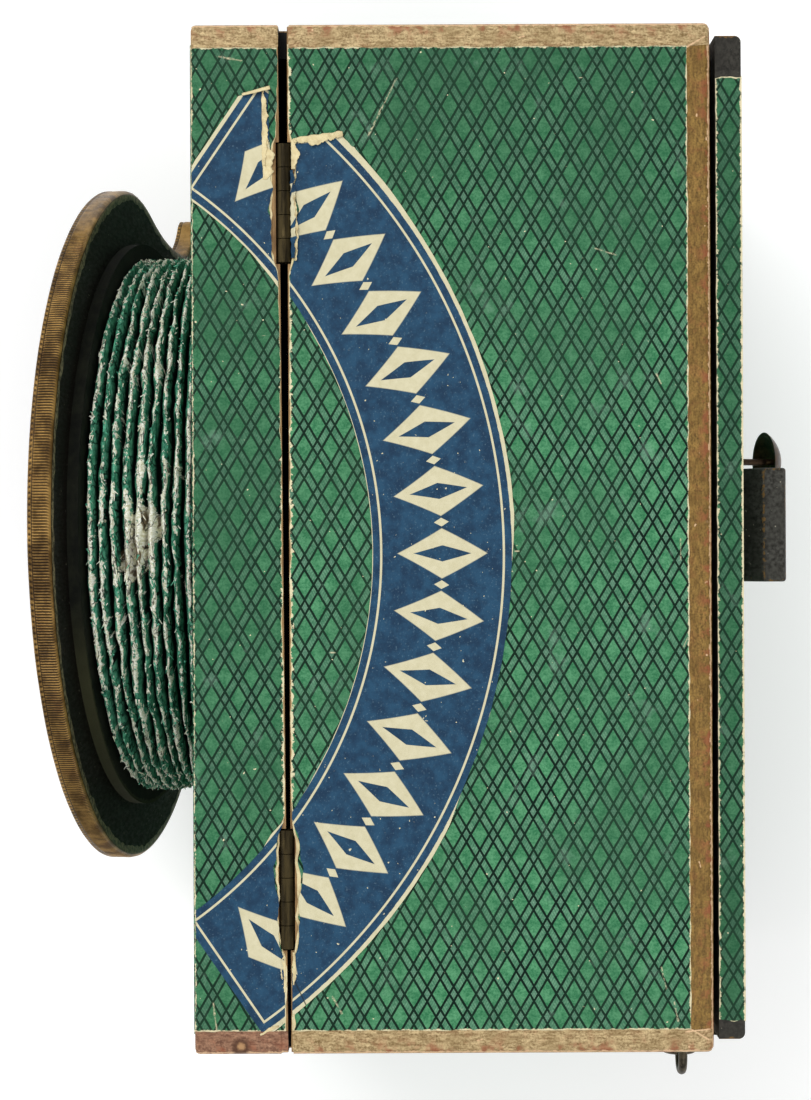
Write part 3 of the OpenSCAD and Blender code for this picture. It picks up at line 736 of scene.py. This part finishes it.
wood = panel_wood()
inside_black = black_paint("inside_black", dark=(12, 11, 10), light=(28, 26, 23))
hinge_brass = metal("hinge_brass", (34, 28, 14), (68, 58, 34), (120, 104, 68), 0.45, pull=(0.12, 1, 1))
nail_brass = metal("nail_brass", (40, 28, 16), (76, 56, 36), (150, 124, 84), 0.4, metallic=0.6)
iron = metal("iron_wire", (46, 42, 34), (88, 80, 66), (132, 122, 102), 0.45)
door_black = black_paint("door_black", [
    ("x", side * door_hi.x, axis, where, 0.6 * MM)
    for side in (-1, 1) for axis, where in (("y", door_hi.y), ("z", door_hi.z))
])
pull_ridge = min(v.co.y for v in nodes["door_pull"].data.vertices if v.co.z > pull_hi.z - TINY)
pull_black = black_paint("pull_black", [
    ("x", pull_lo.x, "z", pull_hi.z, 0.9 * MM), ("x", pull_hi.x, "z", pull_hi.z, 0.9 * MM),
    ("x", pull_lo.x, "y", pull_hi.y, 0.7 * MM), ("x", pull_hi.x, "y", pull_hi.y, 0.7 * MM),
    ("y", pull_hi.y, "z", pull_hi.z - 1 * MM, 0.5 * MM), ("y", pull_ridge, "z", pull_hi.z, 0.6 * MM),
], dark=(34, 33, 29), light=(74, 73, 68))
board_black = black_paint("board_black", dark=(10, 8, 6), light=(25, 21, 17))

for finish, names in (
    (wood, ("base_board", "side_left", "side_right", "front_board", "top_strip", "lid_panel")),
    (inside_black, ("view_stop_left", "view_stop_right", "view_stop_bottom", "bellows")),
    (hinge_brass, ("lid_hinge_box_leaves", "lid_hinge_pins", "lid_hinge_lid_leaves", "lens_retainer",
                   "door_hinge_box_leaves", "door_hinge_pins", "door_hinge_door_leaves", "rim_band")),
    (iron, ("box_hinge_brads", "lid_hinge_brads", "door_hinge_brads", "catch_pin", "screw_eye",
            "wire_hook")),
    (collar_paper(), ("front_collar", "rear_collar")),
    (white_card(), ("lid_reflector",)), (turned_wood(), ("lens_ring",)), (lens_glass(), ("lens",)),
    (nail_brass, ("dome_nail",)), (board_black, ("lens_disc",)),
    (door_black, ("door_panel",)), (pull_black, ("door_pull",)),
):
    for name in names:
        nodes[name].data.materials.clear()
        nodes[name].data.materials.append(finish)


def softened(name, node, width, material, body):
    """A constructed piece again, with its free edges rounded by wear."""
    bm = bmesh.new()
    bm.from_mesh(nodes[node].data)
    bmesh.ops.remove_doubles(bm, verts=bm.verts[:], dist=WELD)
    bmesh.ops.dissolve_limit(bm, angle_limit=math.radians(1), verts=bm.verts[:], edges=bm.edges[:])
    seat = min(v.co.y for v in bm.verts) + TINY
    sharp = [e for e in bm.edges if e.calc_face_angle(0) > 0.3 and any(v.co.y > seat for v in e.verts)]
    bmesh.ops.bevel(bm, geom=sharp, offset=width, offset_type="OFFSET", affect="EDGES", segments=4,
                    profile=0.5, material=-1)
    piece = finished(bm, name, material, body)
    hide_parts(node)


softened("worn_pull", "door_pull", 0.7 * MM, pull_black, "door")

# Papers on the box

# Where the paper is torn back beside a hinge: the middle, and half of the length
HINGE_PLACES = ((-72 * MM, 13.5 * MM), (75 * MM, 14 * MM))
# Wear where a sheet meets the edging of the box's left and right sides
by_side_edgings = (("x", side_x - EDGING_W, 0.45 * MM), ("x", -side_x + EDGING_W, 0.45 * MM))


def slot_edge(x, on_lid):
    """Where the wood ends at the slot between strip and lid, at this x."""
    if on_lid:
        return lid_lo.y
    left = strip_back - 1.3 * MM
    share = (x + side_x) / (2 * side_x)
    return left + share * (strip_back - left)


def torn_back(x, seed):
    """How far the paper is torn back from the slot at this x."""
    torn = 0.30 * MM + 0.35 * MM * wobble(x, seed, 6 * MM, seed)
    torn += 0.25 * MM * wobble(x, seed, 1.5 * MM, seed + 1)
    for middle, half in HINGE_PLACES:
        depth = 1.7 * MM * math.exp(-(((x - middle) / half) ** 8))
        torn += depth * (1 + 0.45 * wobble(x, seed, 3 * MM, seed + 2))
    return max(0.05 * MM, torn)


def from_slot(x, away, on_lid, tear, seed):
    """The y of a point that lay away from the slot before the paper's edge was torn back. tear is this
    sheet's share of the depth that is torn."""
    sign = 1 if on_lid else -1
    back = torn_back(x, seed) * tear
    reach = 5 * MM
    if away < reach:
        away = back + away * (1 - back / reach)
    return slot_edge(x, on_lid) + sign * away


def slot_sheet(name, on_lid, far, tear, lift, material, seed):
    """A sheet on the lid or the strip, from the slot to the far side."""
    half = side_x - EDGING_W + PAPER_LAP
    length = abs(far - slot_edge(0, on_lid))
    us = spread(-half, half, 0.6 * MM)
    vs = spread(0, 4 * MM, 0.5 * MM)[:-1] + spread(4 * MM, length - 3 * MM, 6 * MM)
    vs += spread(length - 3 * MM, length, 0.4 * MM)[1:]

    def place(u, v):
        x = u if on_lid else -u
        y = from_slot(x, v, on_lid, tear, seed)
        if v == vs[-1]:
            y = far
        return on_top(Vector((x, y, top_z)), lift)

    paper(grid_sheet(us, vs, place), name, material, "lid" if on_lid else "box", lift)


def papers_on_top():
    rag = bare_rag()
    lid_paper = trellis_paper("trellis_lid", "y", "x", [
        ("y", lid_lo.y, 1.2 * MM),
        ("y", back_y - EDGING_W, 0.45 * MM),
        *by_side_edgings,
    ], LID_SCRATCHES, soil=(0.40, 0.0))
    strip_paper = trellis_paper("trellis_strip", "y", "x", [
        ("y", strip_back - 0.4 * MM, 1.1 * MM),
        ("y", front_y, 0.55 * MM),
        *by_side_edgings,
    ], STRIP_SCRATCHES, soil=(0.34, 0.28))
    lid_far = back_y - EDGING_W + PAPER_LAP
    slot_sheet("lid_rag", True, lid_far, 0.62, RAG_LIFT, rag, 3)
    slot_sheet("lid_paper", True, lid_far, 1.0, PAPER_LIFT, lid_paper, 3)
    slot_sheet("strip_rag", False, front_y, 0.85, RAG_LIFT, rag, 5)
    slot_sheet("strip_paper", False, front_y, 1.1, PAPER_LIFT, strip_paper, 5)


def papers_on_walls():
    """The sides are covered between their edgings, and the front all round the bellows' collar."""
    half = (back_y - front_y) / 2 - EDGING_W + PAPER_LAP
    foot = EDGING_W - PAPER_LAP
    side_paper = trellis_paper("trellis_sides", "y", "z", [
        ("y", front_y + EDGING_W, 0.45 * MM), ("y", back_y - EDGING_W, 0.45 * MM),
        ("z", EDGING_W, 0.5 * MM), ("z", shelf_z - EDGING_W, 0.4 * MM),
    ])
    for name, side in (("left", -1), ("right", 1)):
        bm = grid_sheet([-half, half], [foot, shelf_z - foot], lambda u, v: Vector(
            (side * (side_x + PAPER_LIFT), side * u, v)))
        paper(bm, "paper_" + name, side_paper, "box", PAPER_LIFT)
    front_paper = trellis_paper("trellis_front", "x", "z", [
        *by_side_edgings, ("z", EDGING_W, 0.5 * MM), ("z", top_z, 0.7 * MM),
    ])
    reach = side_x - foot
    bend_z = top_z - 3 * MM
    bm = grid_sheet(spread(-reach, reach, 2 * MM), spread(bend_z, top_z, 0.4 * MM),
                    lambda u, v: on_box(Vector((u, front_y, v)), PAPER_LIFT))
    paper(bm, "paper_front_top", front_paper, "box", PAPER_LIFT)
    bm = bmesh.new()
    bmesh.ops.create_circle(bm, segments=128, radius=(collar_hi.x - collar_lo.x) / 2 + 0.2 * MM)
    middle = (collar_lo + collar_hi) / 2
    bmesh.ops.transform(bm, matrix=Matrix.Rotation(math.pi / 2, 4, "X"), verts=bm.verts[:])
    y = front_y - PAPER_LIFT
    bmesh.ops.translate(bm, verts=bm.verts[:], vec=(middle.x, y, middle.z))
    corners = [bm.verts.new((x, y, z)) for x, z in
               ((-reach, foot), (reach, foot), (reach, bend_z), (-reach, bend_z))]
    for a, b in zip(corners, corners[1:] + corners[:1]):
        bm.edges.new((a, b))
    bmesh.ops.triangle_fill(bm, edges=bm.edges[:], use_beauty=True, normal=(0, -1, 0))
    paper(bm, "paper_front", front_paper, "box", PAPER_LIFT)


def papers_on_door():
    """Green paper on the door's face and top edge; the painted wood shows at both ends."""
    left, right, foot = -99 * MM, 104.2 * MM, 8 * MM
    lift = 0.15 * MM
    worn = [("x", left, 0.5 * MM), ("x", right, 0.5 * MM)]
    face = trellis_paper("trellis_door", "x", "z", worn + [
        ("z", foot, 0.5 * MM), ("z", door_hi.z, 0.5 * MM)])
    top = trellis_paper("trellis_door_top", "y", "x", worn + [
        ("y", door_lo.y, 0.75 * MM), ("y", door_hi.y, 0.5 * MM)], soil=(0.42, 0.42))
    us = spread(-right, -left, 0.8 * MM)
    vs = spread(foot, door_hi.z, 2 * MM)

    def on_face(u, v):
        x, z = -u, v
        if v == vs[0]:
            z += 0.4 * MM * wobble(x, z, 3 * MM, 31)
        if u in (us[0], us[-1]):
            x += 0.5 * MM * wobble(x, z, 2 * MM, 32)
        return Vector((x, door_hi.y + lift, z))

    paper(grid_sheet(us, vs, on_face), "paper_door", face, "door", lift)
    us = spread(left, right, 0.8 * MM)
    vs = spread(door_lo.y + 0.1 * MM, door_hi.y + lift, 0.6 * MM)

    def on_edge(u, v):
        x, y = u, v
        if v == vs[0]:
            y += 0.15 * MM * wobble(x, y, 2 * MM, 33)
        if u in (us[0], us[-1]):
            x += 0.9 * MM * wobble(u, v, 1.6 * MM, 34)
        return Vector((x, y, door_hi.z + lift))

    paper(grid_sheet(us, vs, on_edge), "paper_door_top", top, "door", lift)


papers_on_top()
papers_on_walls()
papers_on_door()

# Bronze edging, folded over the box's edges


def edging(name, start, length, in_dir, up_dir, down_w, lift, body, material, seed):
    """A band folded over an edge: EDGING_W wide on the face whose normal is up_dir, down_w on the other."""
    run = in_dir.cross(up_dir)
    us = spread(0, length, 0.4 * MM if abs(run.y) > 0.5 else 0.8 * MM)
    bend = 1.8 * ARRIS
    vs = [-down_w] + spread(-bend, bend, ARRIS / 3) + [EDGING_W]

    def place(u, v):
        across = v
        if v in (vs[0], vs[-1]):
            across += 0.22 * MM * wobble(u, v, 2.6 * MM, seed) + 0.10 * MM * wobble(u, v, 0.9 * MM, seed + 1)
        along = u
        if u in (us[0], us[-1]):
            along += 0.2 * MM * wobble(u, v, 1.5 * MM, seed + 2)
        return on_top(start + run * along + (in_dir if across > 0 else up_dir) * across, lift)

    paper(grid_sheet(us, vs, place), name, material, body, lift)


def edgings():
    rubbed = bronze_paper("bronze_rubbed", (92, 58, 42), (170, 130, 102), stain=(108.6, -45.7))
    olive = bronze_paper("bronze_olive", (86, 62, 20), (150, 118, 58))
    pale = bronze_paper("bronze_pale", (108, 84, 46), (208, 184, 138))
    w = EDGING_W
    deep = top_z - shelf_z - 0.4 * MM
    foot = 0.2 * MM
    tall = shelf_z - foot
    upright = tall - foot
    lid_long = back_y - lid_lo.y - 0.3 * MM
    strip_right, strip_left = (slot_edge(x, False) for x in (side_x, -side_x))
    over = 0.08 * MM
    seed = 40
    for name, start, length, in_dir, up_dir, down_w, above, body in (
        ("lid_back", (side_x, back_y, top_z), 2 * side_x, -Y, Z, deep, 0, "lid"),
        ("lid_right", (side_x, back_y - lid_long, top_z), lid_long, -X, Z, deep, over, "lid"),
        ("lid_left", (-side_x, back_y, top_z), lid_long, X, Z, deep, over, "lid"),
        ("strip_right", (side_x, front_y, top_z), strip_right - front_y, -X, Z, deep, over, "box"),
        ("strip_left", (-side_x, strip_left, top_z), strip_left - front_y, X, Z, deep, over, "box"),
        ("front_right", (side_x, front_y, foot), upright, -X, -Y, w, 0, "box"),
        ("front_left", (-side_x, front_y, tall), upright, X, -Y, w, 0, "box"),
        ("back_right", (side_x, back_y, tall), upright, -X, Y, w, 0, "box"),
        ("back_left", (-side_x, back_y, foot), upright, X, Y, w, 0, "box"),
    ):
        edging("edging_" + name, Vector(start), length, in_dir, up_dir, down_w, EDGING_LIFT + above, body,
               olive if "back" in name else rubbed if name == "strip_right" else pale, seed)
        seed += 5
    short = 1 * MM
    for name, corner, run, length in (
        ("foot_front", (short - side_x, front_y, foot / 2), X, 2 * side_x),
        ("foot_right", (side_x, front_y + short, foot / 2), Y, back_y - front_y),
        ("foot_left", (-side_x, back_y - short, foot / 2), -Y, back_y - front_y),
        ("wall_right", (side_x, strip_right + short, tall - w), Y, lid_long),
        ("wall_left", (-side_x, back_y - short, tall - w), -Y, lid_long),
    ):
        flat_edging("edging_" + name, Vector(corner), run, length - 2 * short, olive, seed)
        seed += 5


def flat_edging(name, corner, run, length, material, seed):
    """A band along an edge of a wall that it doesn't fold over. Its other edge, towards the wall's middle,
    is ragged."""
    us = spread(0, length, 0.8 * MM)
    vs = spread(0, EDGING_W, EDGING_W / 2)
    ragged = vs[-1] if corner.z < shelf_z / 2 else vs[0]

    def place(u, v):
        across = v + (0.25 * MM * wobble(u, v, 2.6 * MM, seed) if v == ragged else 0)
        return on_box(corner + run * u + Z * across, EDGING_LIFT - 0.03 * MM)

    paper(grid_sheet(us, vs, place), name, material, "box", EDGING_LIFT)


edgings()

# The label


def label_trim(angle):
    """How far the label's outer edge is cut inside its true arc, at this angle from the middle."""
    cut = 0.9 * MM * clamped((angle + 0.07) / 0.1, (0.50 - angle) / 0.08)
    spare = 0.6 * MM * math.exp(-(((angle + 0.75) / 0.14) ** 2))
    return cut - spare - 0.12 * MM * wobble(angle, 0, 0.05, 23)


def cut_across(bm, point, facing, drop):
    """Cuts a flat sheet along a straight line, and may drop what lies on the facing side."""
    geom = bm.verts[:] + bm.edges[:] + bm.faces[:]
    bmesh.ops.bisect_plane(bm, geom=geom, plane_co=point, plane_no=facing, clear_outer=drop)


def label_part(name, on_lid, material):
    """The part of the label that lies on the lid or on the strip."""
    bm = bmesh.new()
    rungs = [bm.verts.new((0, r, 0)) for r in spread(LABEL_INNER, LABEL_OUTER, 1.5 * MM)]
    for a, b in zip(rungs, rungs[1:]):
        bm.edges.new((a, b))
    start = bm.verts[:] + bm.edges[:]
    bmesh.ops.rotate(bm, verts=bm.verts[:], cent=(0, 0, 0),
                     matrix=Matrix.Rotation(LABEL_HALF_ANGLE, 3, "Z"))
    bmesh.ops.spin(bm, geom=start, cent=(0, 0, 0), axis=(0, 0, -1), dvec=(0, 0, 0),
                   angle=2 * LABEL_HALF_ANGLE, steps=LABEL_STEPS, use_duplicate=False)
    for v in bm.verts:
        radius = v.co.length
        if radius > LABEL_OUTER - TINY:
            v.co *= (radius - label_trim(math.atan2(v.co.x, v.co.y))) / radius
    bmesh.ops.translate(bm, verts=bm.verts[:], vec=(*LABEL_CENTRE, top_z))
    keep = 1 if on_lid else -1
    slot_y = slot_edge(0, on_lid)
    cut_across(bm, (0, slot_y, 0), (0, -keep, 0), True)
    for inward in (0.5 * MM, 1.0 * MM, 1.6 * MM):
        cut_across(bm, (0, slot_y + keep * inward, 0), (0, 1, 0), False)
    if not on_lid:
        cut_across(bm, (0, front_y, 0), (0, -1, 0), True)
    a, b = (Vector(at) * MM for at in (LABEL_TEAR if on_lid else LABEL_CURL))
    if on_lid:
        # Finer quads by the tear, so that its edge can be ragged
        near = [e for e in bm.edges if all(v.co.x < a.x + 4 * MM for v in e.verts)]
        bmesh.ops.subdivide_edges(bm, edges=near, cuts=2, use_grid_fill=True)
    torn_side = (a - b).orthogonal()
    cut_across(bm, (*a, 0), (*torn_side * (1 if torn_side.x < 0 else -1), 0), True)
    bmesh.ops.recalc_face_normals(bm, faces=bm.faces[:])
    if bm.faces[:][0].normal.z < 0:
        bmesh.ops.reverse_faces(bm, faces=bm.faces[:])
    for v in bm.verts:
        x, y = v.co.x, v.co.y
        away = keep * (y - slot_y)
        new_y = from_slot(x, away, on_lid, 1.0, 11)
        if not on_lid:
            torn_off = clamped((-79 * MM - x) / (4 * MM))
            new_y = min(new_y, slot_y - torn_off * (2.6 + 0.6 * wobble(x, 0, 2 * MM, 24)) * MM)
        if away > 0.1 * MM and v.is_boundary:
            torn = 0.45 if on_lid and x < a.x + 1.5 * MM else 0.07
            x += torn * MM * wobble(x, y, 1.2 * MM if torn > 0.1 else 3 * MM, 21)
            new_y += 0.07 * MM * wobble(x, y, 3 * MM, 22)
        v.co = on_top(Vector((x, max(new_y, front_y), top_z)), LABEL_LIFT)
    paper(bm, name, material, "lid" if on_lid else "box", LABEL_LIFT - PAPER_LIFT)


def torn_flap(name, start, end, width, rise, body, material, seed):
    """A torn scrap on top of the box. It is held along start to end, in mm, and its free side curls up."""
    a, b = (Vector((*at, 0)) * MM for at in (start, end))
    run = b - a
    away = Vector((-run.y, run.x, 0)).normalized()
    length = run.length

    def place(u, v):
        share = u / length
        ragged = 0.45 + 0.55 * math.sin(math.pi * share) + 0.4 * wobble(u, 0, 1.5 * MM, seed)
        ragged += 0.25 * wobble(u, v, 0.5 * MM, seed + 1)
        reach = max(0.12, ragged) * width * v
        held = 0.2 * MM * wobble(u, 0, 1.1 * MM, seed + 2) * (1 - v)
        p = a + run * share + away * (reach + held)
        curl = rise * v * v * (0.6 + 0.7 * wobble(u, 0, 1.4 * MM, seed + 3))
        p.z = top_z + (LABEL_LIFT + 0.04 * MM + max(0, curl)) * pressed(p.y)
        return p

    bm = grid_sheet(spread(0, length, 0.3 * MM), [i / 5 for i in range(6)], place)
    smooth(bm)
    paper(bm, name, material, body, 0.12 * MM)


def rolled_corner(name, start, end, radius, turn, body, material):
    """Paper that rolls up over itself, through turn radians, along the line from start to end, in mm."""
    a, b = (Vector((*at, 0)) * MM for at in (start, end))
    run = b - a
    away = Vector((run.y, -run.x, 0)).normalized()
    if away.x > 0:
        away = -away

    def place(u, v):
        tight = radius * (1 - 0.25 * v / turn) * (0.85 + 0.5 * u / run.length)
        p = a + run * (u / run.length) + away * (tight * math.sin(v) + 0.1 * MM * wobble(u, v, 1 * MM, 71))
        p.z = top_z + LABEL_LIFT + tight * (1 - math.cos(v))
        return p

    bm = grid_sheet(spread(0, run.length, 0.4 * MM), spread(0, turn, 0.25), place)
    bmesh.ops.recalc_face_normals(bm, faces=bm.faces[:])
    smooth(bm)
    paper(bm, name, material, body, 0.1 * MM)


blue_label = label_print()
label_part("label_on_lid", True, blue_label)
label_part("label_on_strip", False, blue_label)

# Torn edges: scraps of the papers that stand up by the hinges and where the label is torn. Each has the
# two ends of the line that holds it, its width and its rise, in mm

torn_rag = bare_rag()
rolled_corner("label_curl", *LABEL_CURL, 0.55 * MM, 3.6, "box", torn_rag)
for name, start, end, width, rise, body, finish in (
    ("tear_tip", (-87.4, -23.0), (-85.9, -33.6), 2.1, 0.7, "lid", torn_rag),
    ("tear_lump", (-85.6, -34.0), (-79.2, -34.0), 1.5, 0.5, "lid", torn_rag),
    ("tear_blue", (-79.0, -34.2), (-60.2, -34.1), 1.2, 0.8, "lid", blue_label),
    ("tear_fray", (-73.5, -33.8), (-59.6, -33.4), 0.9, 1.0, "lid", torn_rag),
    ("tear_strip", (-96.0, -40.3), (-80.0, -40.2), 1.2, 0.5, "box", torn_rag),
    ("tear_patch", (-85.4, -40.3), (-77.0, -40.0), 2.2, 0.3, "box", torn_rag),
    ("tear_end_strip", (97.0, -35.85), (88.6, -35.95), 1.0, 0.0, "box", torn_rag),
    ("tear_end_lid", (88.4, -34.4), (95.4, -34.45), 0.7, 0.1, "lid", torn_rag),
    ("tear_corner", (101.6, -34.4), (105.2, -34.4), 0.5, 0.1, "lid", torn_rag),
    ("tear_hem", (106.2, -41.4), (104.3, -37.4), 0.6, 0.15, "box", torn_rag),
):
    torn_flap(name, start, end, width * MM, rise * MM, body, finish, 80 + int(start[0]))

# The rim's stamped band


def rim_outline():
    """The band's outer outline in the board's frame, walked from its CAD node."""
    bm = bmesh.new()
    bm.from_mesh(nodes["rim_band"].data)
    bmesh.ops.transform(bm, matrix=board_frame.inverted(), verts=bm.verts[:])
    bmesh.ops.remove_doubles(bm, verts=bm.verts[:], dist=WELD)
    front = max(v.co.z for v in bm.verts)
    after = {}
    for edge in bm.edges:
        level = all(abs(v.co.z - front) < TINY for v in edge.verts)
        if level and any(abs(f.normal.z) < 0.5 for f in edge.link_faces):
            a, b = (v.index for v in edge.verts)
            after.setdefault(a, []).append(b)
            after.setdefault(b, []).append(a)
    bm.verts.ensure_lookup_table()
    places = {i: bm.verts[i].co.xy.copy() for i in after}
    start = min(places, key=lambda i: places[i].y)
    loop = [start]
    while True:
        onward = [i for i in after[loop[-1]] if i not in loop[-2:]]
        if not onward or onward[0] == start:
            break
        loop.append(onward[0])
    bm.free()
    points = [places[i] for i in loop]
    turned = sum(a.cross(b) for a, b in zip(points, points[1:] + points[:1]))
    return points if turned > 0 else points[::-1]


def evenly(points, count):
    """The closed outline again, as count points evenly apart, and the distance between them."""
    closed = points + points[:1]
    runs = [0.0]
    for a, b in zip(closed, closed[1:]):
        runs.append(runs[-1] + (b - a).length)
    made = []
    k = 0
    for i in range(count):
        at = runs[-1] * i / count
        while runs[k + 1] < at:
            k += 1
        share = (at - runs[k]) / (runs[k + 1] - runs[k])
        made.append(closed[k].lerp(closed[k + 1], share))
    return made, runs[-1] / count


def stamped_rim():
    outline = rim_outline()
    length = sum((b - a).length for a, b in zip(outline, outline[1:] + outline[:1]))
    points, step = evenly(outline, round(length / RIB_PITCH) * STEPS_PER_RIB)
    count = len(points)
    normals = []
    for i in range(count):
        along = points[(i + 8) % count] - points[i - 8]
        normals.append(Vector((along.y, -along.x)).normalized())
    bm = bmesh.new()
    groove = bm.verts.layers.float.new("groove")
    rings = []
    for row in RIM_ROWS:
        across, height, ribbed, beaded = row
        ring = []
        for i, point in enumerate(points):
            # The stamping is rubbed flat towards the left end, and is a little deeper or shallower along the
            # band
            kept = clamped((point.x + 69 * MM) / (7 * MM)) * (0.9 + 0.3 * wobble(i * step, 0, 24 * MM, 63))
            rib = kept * (0.5 - 0.5 * math.cos(2 * math.pi * i / STEPS_PER_RIB))
            bead = 0.5 - 0.5 * math.cos(math.pi * i / STEPS_PER_RIB)
            sink = ribbed * RIB_DEPTH * rib + beaded * BEAD_DEPTH * bead
            out = height * MM - sink + 0.10 * MM * wobble(i * step, across, 12 * MM, 61)
            if row == RIM_ROWS[0]:
                out += 0.9 * MM * wobble(i * step, across, 4 * MM, 64)
            p = point + normals[i] * out
            v = bm.verts.new(board_frame @ Vector((p.x, p.y, across * MM)))
            # How dark the painted shade is in the grooves, the beads and the groove row; 2 is the lap round
            # the band's edge
            dark = max(ribbed * rib, beaded * bead * 0.8, 0.8 * (row == RIM_GROOVE))
            v[groove] = 2 if across < 0 else dark
            ring.append(v)
        rings.append(ring)
    for a, b in zip(rings, rings[1:]):
        for i in range(count):
            j = (i + 1) % count
            bm.faces.new((a[i], a[j], b[j], b[i]))
    smooth(bm)
    piece = finished(bm, "stamped_rim", reeded_brass(), "lens_board")
    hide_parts("rim_band")


stamped_rim()

# The bellows


def fold(share):
    """Height of the fold, 0 in a valley and 1 on the blunt ridge, at a share of one pleat."""
    return abs(math.sin(math.pi * share)) ** 0.55


def bellows():
    """Round pleats that fan out with the leaning board, frayed along their crests."""
    rear = Vector((BOARD_AT.x, bellows_hi.y, BOARD_AT.z))
    front = board_frame @ Vector((0, 0, -COLLAR_T))
    axis = front - rear
    ridge_r = (bellows_hi.x - bellows_lo.x) / 2
    stations = PLEATS * PLEAT_STEPS
    bm = bmesh.new()
    ridge = bm.verts.layers.float.new("ridge")
    wrap = bm.loops.layers.uv.new("wrap")
    rings, places, outs = [], [], []
    for k in range(stations + 1):
        t = k / stations
        high = fold(k / PLEAT_STEPS % 1)
        # Where the ring stands at first; each point is moved to its place further down
        even = 0.5 - math.sin(math.asin(1 - 2 * t) / 3)
        held = max(0, math.sin(math.pi * t)) ** 0.6
        ring = []
        for j in range(PLEAT_SIDES):
            angle = math.pi + 2 * math.pi * j / PLEAT_SIDES
            around = Vector((math.sin(angle), math.cos(angle))) * ridge_r
            bump, wander = (sum(
                share * noise.noise(Vector((*around / (step * MM), t * PLEATS * rate + seed)))
                for share, step, rate, seed in waves) for waves in (PLEAT_BUMPS, PLEAT_WANDER))
            r = ridge_r - PLEAT_DEPTH * (1 - high) - high * (0.65 + bump) * MM
            turned = t + held * wander / PLEATS
            lean = BOARD_LEAN * turned
            level = math.cos(angle)
            out = Vector((math.sin(angle), -level * math.sin(lean), level * math.cos(lean)))
            v = bm.verts.new(rear + axis * even + r * Vector((math.sin(angle), 0, level)))
            v[ridge] = high
            places.append(rear + axis * turned + r * out)
            outs.append(out)
            ring.append(v)
        rings.append(ring)

    def tile(corners, uvs):
        face = bm.faces.new(corners)
        face.smooth = True
        for loop, (u, v) in zip(face.loops, uvs):
            loop[wrap].uv = (u / PLEAT_SIDES * 2 * math.pi * ridge_r, v / PLEAT_STEPS * 2 * PLEAT_DEPTH)

    for k, (a, b) in enumerate(zip(rings, rings[1:])):
        for i in range(PLEAT_SIDES):
            j = (i + 1) % PLEAT_SIDES
            tile((a[i], b[i], b[j], a[j]), ((i, k), (i, k + 1), (i + 1, k + 1), (i + 1, k)))
    # Frays: slips of torn paper that stand off the crests
    draw = random.Random(8)
    for _ in range(FRAYS):
        k = PLEAT_STEPS * draw.randrange(PLEATS) + PLEAT_STEPS // 2 + draw.choice((-2, -1, 0, 1, 2))
        j = draw.randrange(PLEAT_SIDES)
        spot = k * PLEAT_SIDES + j
        along = (places[spot + 1] - places[spot - 1]).normalized()
        across = axis.normalized()
        slant = draw.choice((-1, 1)) * draw.uniform(0, 1) ** 2 * 0.9
        length, width, rise = draw.uniform(0.5, 2.0), draw.uniform(0.2, 0.55), draw.uniform(0.0, 0.45)
        heading = along * math.cos(slant) + across * math.sin(slant)
        beside = across * math.cos(slant) - along * math.sin(slant)
        rail = []
        for share in (0, 0.5, 1):
            middle = places[spot] + outs[spot] * (0.08 + rise * share * share) * MM
            middle += heading * length * (share - 0.4) * MM
            half = width * (1 - 0.7 * share) * draw.uniform(0.3, 0.6) * MM
            pair = []
            for side in (-1, 1):
                v = bm.verts.new(rings[k][j].co)
                v[ridge] = 1.5
                places.append(middle + beside * side * half)
                pair.append(v)
            rail.append(pair)
        for a, b in zip(rail, rail[1:]):
            tile((a[0], a[1], b[1], b[0]), ((j, k), (j, k), (j + 1, k), (j + 1, k)))
    piece = meshed(bm, "pleated_bellows", pleat_cloth(math.pi * ridge_r / MM))
    mesh = piece.data
    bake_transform(piece)
    mesh.vertices.foreach_set("co", [c for place in places for c in place])
    mesh.update()
    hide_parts("bellows")
    mesh.materials.append(inside_black)
    backed(piece, 0.2 * MM).modifiers["thickness"].material_offset = 1


bellows()
